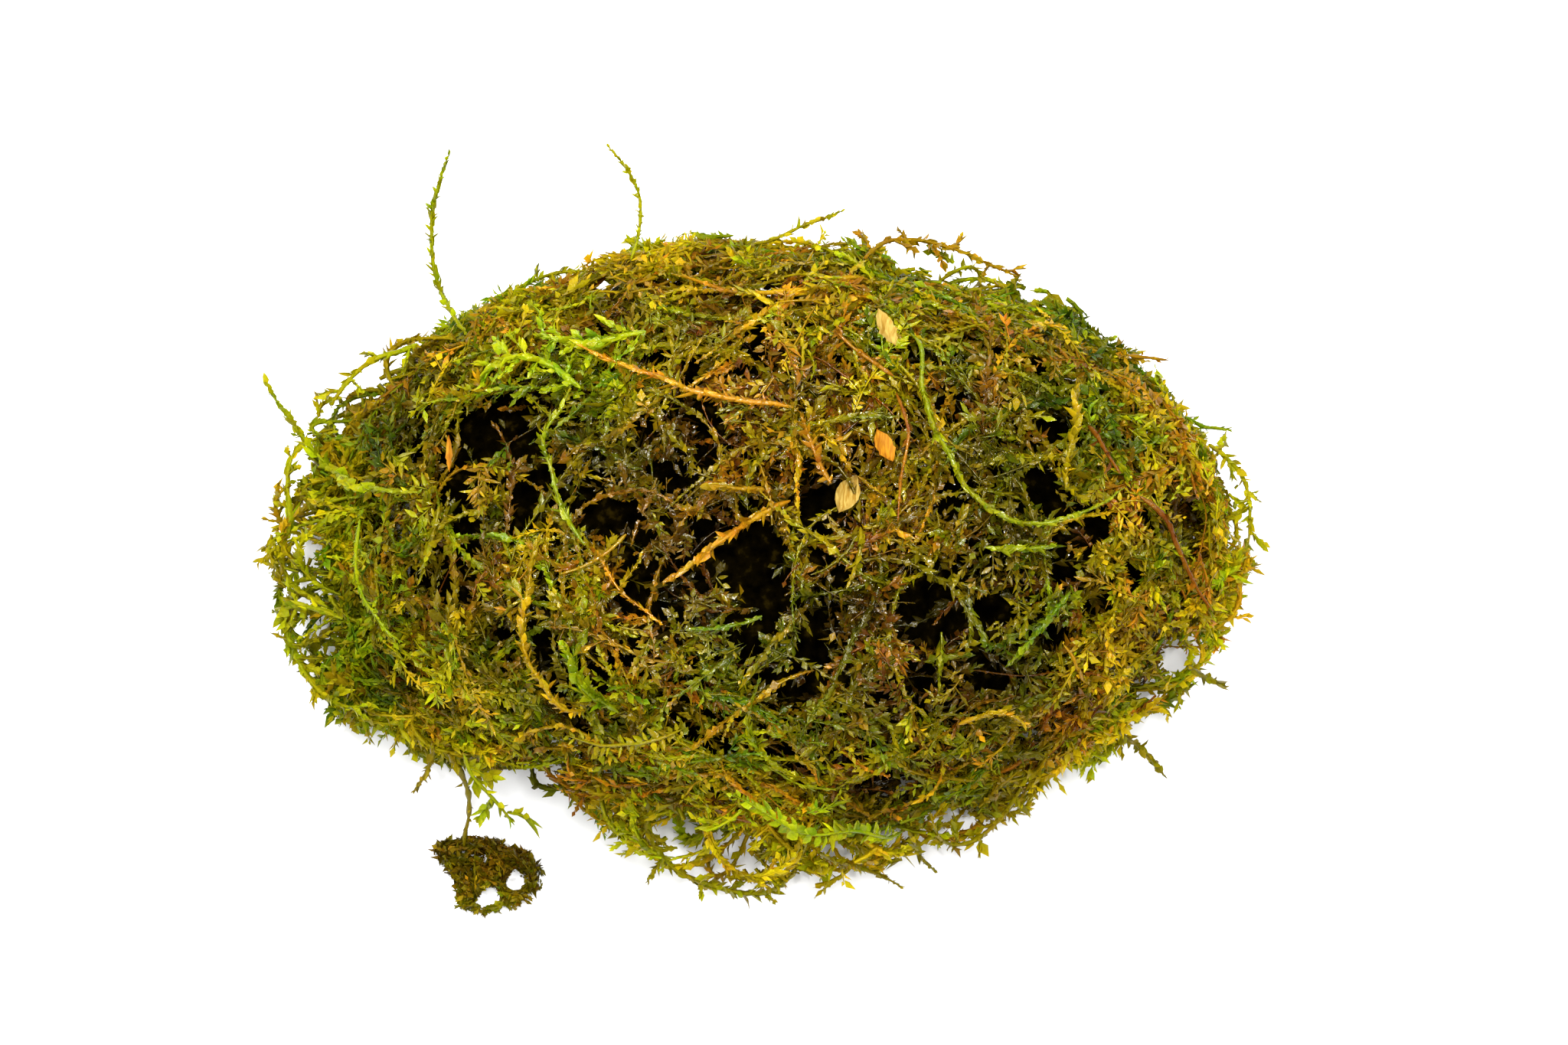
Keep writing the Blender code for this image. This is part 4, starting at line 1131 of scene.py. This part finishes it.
class Surface:
    """A material whose nodes are added and linked in one call each."""

    def __init__(self, name):
        self.material = bpy.data.materials.new(name)
        self.material.use_nodes = True
        self.tree = self.material.node_tree
        self.shader = self.tree.nodes["Principled BSDF"]
        self.place = self.add("TexCoord", {}, "Object")

    def feed(self, node, values):
        """Set a node's inputs, by linking another node's output or with a number or a colour."""
        for key, value in values.items():
            if isinstance(value, bpy.types.NodeSocket):
                self.tree.links.new(value, node.inputs[key])
            else:
                node.inputs[key].default_value = value

    def add(self, kind, values, output=0, **settings):
        """Add a node, feed it, and return one of its outputs."""
        node = self.tree.nodes.new("ShaderNode" + kind)
        for key, value in settings.items():
            setattr(node, key, value)
        self.feed(node, values)
        return node.outputs[output]

    def noise(self, scale, detail):
        return self.add("TexNoise", {"Vector": self.place, "Scale": scale, "Detail": detail})

    def math(self, operation, *values):
        return self.add("Math", dict(enumerate(values)), operation=operation)

    def spread(self, value, before, after):
        """A value moved from one range to another."""
        return self.add("MapRange", {"Value": value, "From Min": before[0], "From Max": before[1],
                                     "To Min": after[0], "To Max": after[1]})

    def bump(self, height, strength, distance):
        return self.add("Bump", {"Height": height, "Strength": strength, "Distance": distance})

    def layer(self, name):
        """The two numbers that a UV layer holds."""
        parts = self.add("SeparateXYZ", {0: self.add("UVMap", {}, uv_map=name)}).node.outputs
        return parts["X"], parts["Y"]

    def ramp(self, share, stops):
        """A colour picked from stops by a share from 0 to 1."""
        colour = self.add("ValToRGB", {"Fac": share})
        elements = colour.node.color_ramp.elements
        for element, (position, tint) in zip(elements, (stops[0], stops[-1])):
            element.position = position
            element.color = (*tint, 1)
        for position, tint in stops[1:-1]:
            elements.new(position).color = (*tint, 1)
        return colour

    def let_light_through(self, colour, share):
        """Let a share of the light through, as a thin leaf does."""
        glow = self.add("BsdfTranslucent", {"Color": colour})
        blend = self.add("MixShader", {"Fac": share, 1: self.shader.outputs["BSDF"], 2: glow})
        self.feed(self.tree.nodes["Material Output"], {"Surface": blend})


def moss_material():
    """Wet moss: colour by age, painted light and shade that darken it with depth, paler tips, mottled
    cells, and a film of water.
    """
    made = Surface("wet_moss")
    age, light = made.layer("Tone")
    _, leaf_share = made.layer("Growth")
    patches = made.noise(420.0, 2.0)
    cells = made.noise(5200.0, 2.0)
    colour = made.ramp(made.math("ADD", age, made.math("MULTIPLY_ADD", patches, 0.36, -0.18)), AGES)
    tip = made.math("MULTIPLY", made.math("POWER", leaf_share, 3.0), 0.30)
    tips = {"Factor": tip, "A": colour, "B": (*TIP_COLOUR, 1)}
    tipped = made.add("Mix", tips, "Result", data_type="RGBA")
    mottled = made.spread(cells, (0.25, 0.75), (0.78 * MOSS_LIGHTNESS, 1.22 * MOSS_LIGHTNESS))
    shade = made.math("MULTIPLY", mottled, light)
    coloured = made.add("VectorMath", {0: tipped, "Scale": shade}, operation="SCALE")
    shares = (1 / WET_REACH[0], 1 / WET_REACH[1], 0.0)
    flat_place = made.add("VectorMath", {0: made.place, 1: shares}, operation="MULTIPLY")
    radius = made.add("VectorMath", {0: flat_place}, "Value", operation="LENGTH")
    wet_heart = made.spread(radius, (0.35, 0.90), (1.0, 0.04))
    drops = made.spread(cells, (0.39, 0.49), (0.0, 1.0))
    made.feed(made.shader, {
        "Base Color": coloured,
        "Roughness": made.spread(patches, (0.0, 1.0), (0.22, 0.62)),
        "Specular IOR Level": 0.40,
        "Specular Tint": (1.0, 0.86, 0.12, 1),
        "IOR": 1.38,
        "Normal": made.bump(cells, 0.6, 0.00006),
        "Coat Weight": made.math("MULTIPLY", drops, wet_heart),
        "Coat Roughness": 0.12,
        "Coat IOR": 1.60,
        "Coat Normal": made.bump(made.noise(3800.0, 1.0), 1.0, 0.00010),
    })
    made.let_light_through(coloured, 0.30)
    return made.material


def core_shade_material():
    """The heart of the clump, painted near black and without reflection as shade."""
    made = Surface("moss_core_painted_shade")
    grain = made.noise(900.0, 4.0)
    made.feed(made.shader, {
        "Base Color": made.ramp(grain, CORE_SHADE_COLOURS),
        "Roughness": 1.0,
        "Specular IOR Level": 0.0,
        "IOR": 1.0,
        "Normal": made.bump(grain, 0.8, 0.0005),
    })
    return made.material


def flake_material(name, light, dark):
    """Dead leaf: paler and darker streaks, thin enough for light to come through."""
    made = Surface(name)
    stretch = made.add("Mapping", {"Vector": made.place, "Scale": (3.4, 0.6, 1.0)})
    streaks = made.add("TexNoise", {"Vector": stretch, "Scale": 1300.0, "Detail": 5.0, "Distortion": 0.8})
    colour = made.ramp(streaks, ((0.34, dark), (0.62, light)))
    made.feed(made.shader, {
        "Base Color": colour,
        "Roughness": 0.45,
        "Specular IOR Level": 0.25,
        "Specular Tint": (1.0, 0.80, 0.30, 1),
        "Normal": made.bump(streaks, 0.5, 0.0001),
    })
    made.let_light_through(colour, 0.35)
    return made.material


def add_camera():
    camera = bpy.data.cameras.new("camera")
    camera.lens = VIEW_LENS
    camera.sensor_width = VIEW_SENSOR
    camera.clip_start = 0.01
    camera.clip_end = 10.0
    holder = show("camera", camera)
    holder.location = EYE
    holder.rotation_euler = (math.pi / 2 - VIEW_ELEVATION, 0, 0)
    bpy.context.scene.camera = holder


def add_lamps():
    """The white surroundings and the lamps over them."""
    world = bpy.data.worlds.new("studio")
    world.use_nodes = True
    world.node_tree.nodes["Background"].inputs["Color"].default_value = (1.0, 1.0, 1.0, 1)
    world.node_tree.nodes["Background"].inputs["Strength"].default_value = 0.31
    bpy.context.scene.world = world
    for name, (place, size, power) in LAMPS.items():
        lamp = bpy.data.lights.new(name, "AREA")
        lamp.shape = "DISK"
        lamp.size = size
        lamp.energy = power
        holder = show(name, lamp)
        holder.location = place
        holder.rotation_euler = (LAMP_TARGET - Vector(place)).to_track_quat("-Z", "Y").to_euler()


def add_floor():
    """The white surface that the clump lies on."""
    mesh = bpy.data.meshes.new("floor")
    corners = [(-FLOOR_SIZE, -FLOOR_SIZE, 0), (FLOOR_SIZE, -FLOOR_SIZE, 0),
               (FLOOR_SIZE, FLOOR_SIZE, 0), (-FLOOR_SIZE, FLOOR_SIZE, 0)]
    mesh.from_pydata(corners, [], [(0, 1, 2, 3)])
    paper = Surface("floor_paper")
    paper.feed(paper.shader, {"Base Color": (0.92, 0.92, 0.92, 1), "Roughness": 0.9})
    mesh.materials.append(paper.material)
    floor = show("floor", mesh)


def main():
    bpy.context.scene.view_settings.view_transform = "Standard"
    add_camera()
    add_lamps()
    add_floor()
    mound = node_object("moss_mound")
    forms = {"skin": Form(mound, 5), "hull": Form(mound, 30)}
    hull = forms["hull"]
    moss = moss_material()
    for rows in LOOSE_STEMS.values():
        for row in rows:
            points, _ = smooth_line(centreline(row[0], hull), 60)
            mark_stem(points, STEM_MARK)
    for name in FLAKES:
        mark_stem(np.array([v.co[:] for v in node_object(name).data.vertices]), FLAKE_MARK)
    build_core(forms["skin"], core_shade_material())
    for name, plan in LAYERS.items():
        strand_layer(name, forms[plan.form], plan, moss)
    build_fringe("rim_fringe", hull, 480, (0.05, 0.85), FELT, 0.06, moss)
    build_fringe("rim_lace", hull, 170, (0.88, 1.12), LACE, 0.28, moss)
    for name, rows in LOOSE_STEMS.items():
        build_loose(name, rows, hull, moss)
    build_tuft("torn_tuft", moss)
    straw = flake_material("dead_straw", (0.60, 0.42, 0.10), (0.34, 0.18, 0.02))
    amber = flake_material("dead_amber", (0.58, 0.24, 0.012), (0.34, 0.11, 0.006))
    for name, broad in FLAKES.items():
        build_flake(name, broad, straw if "straw" in name else amber)


main()
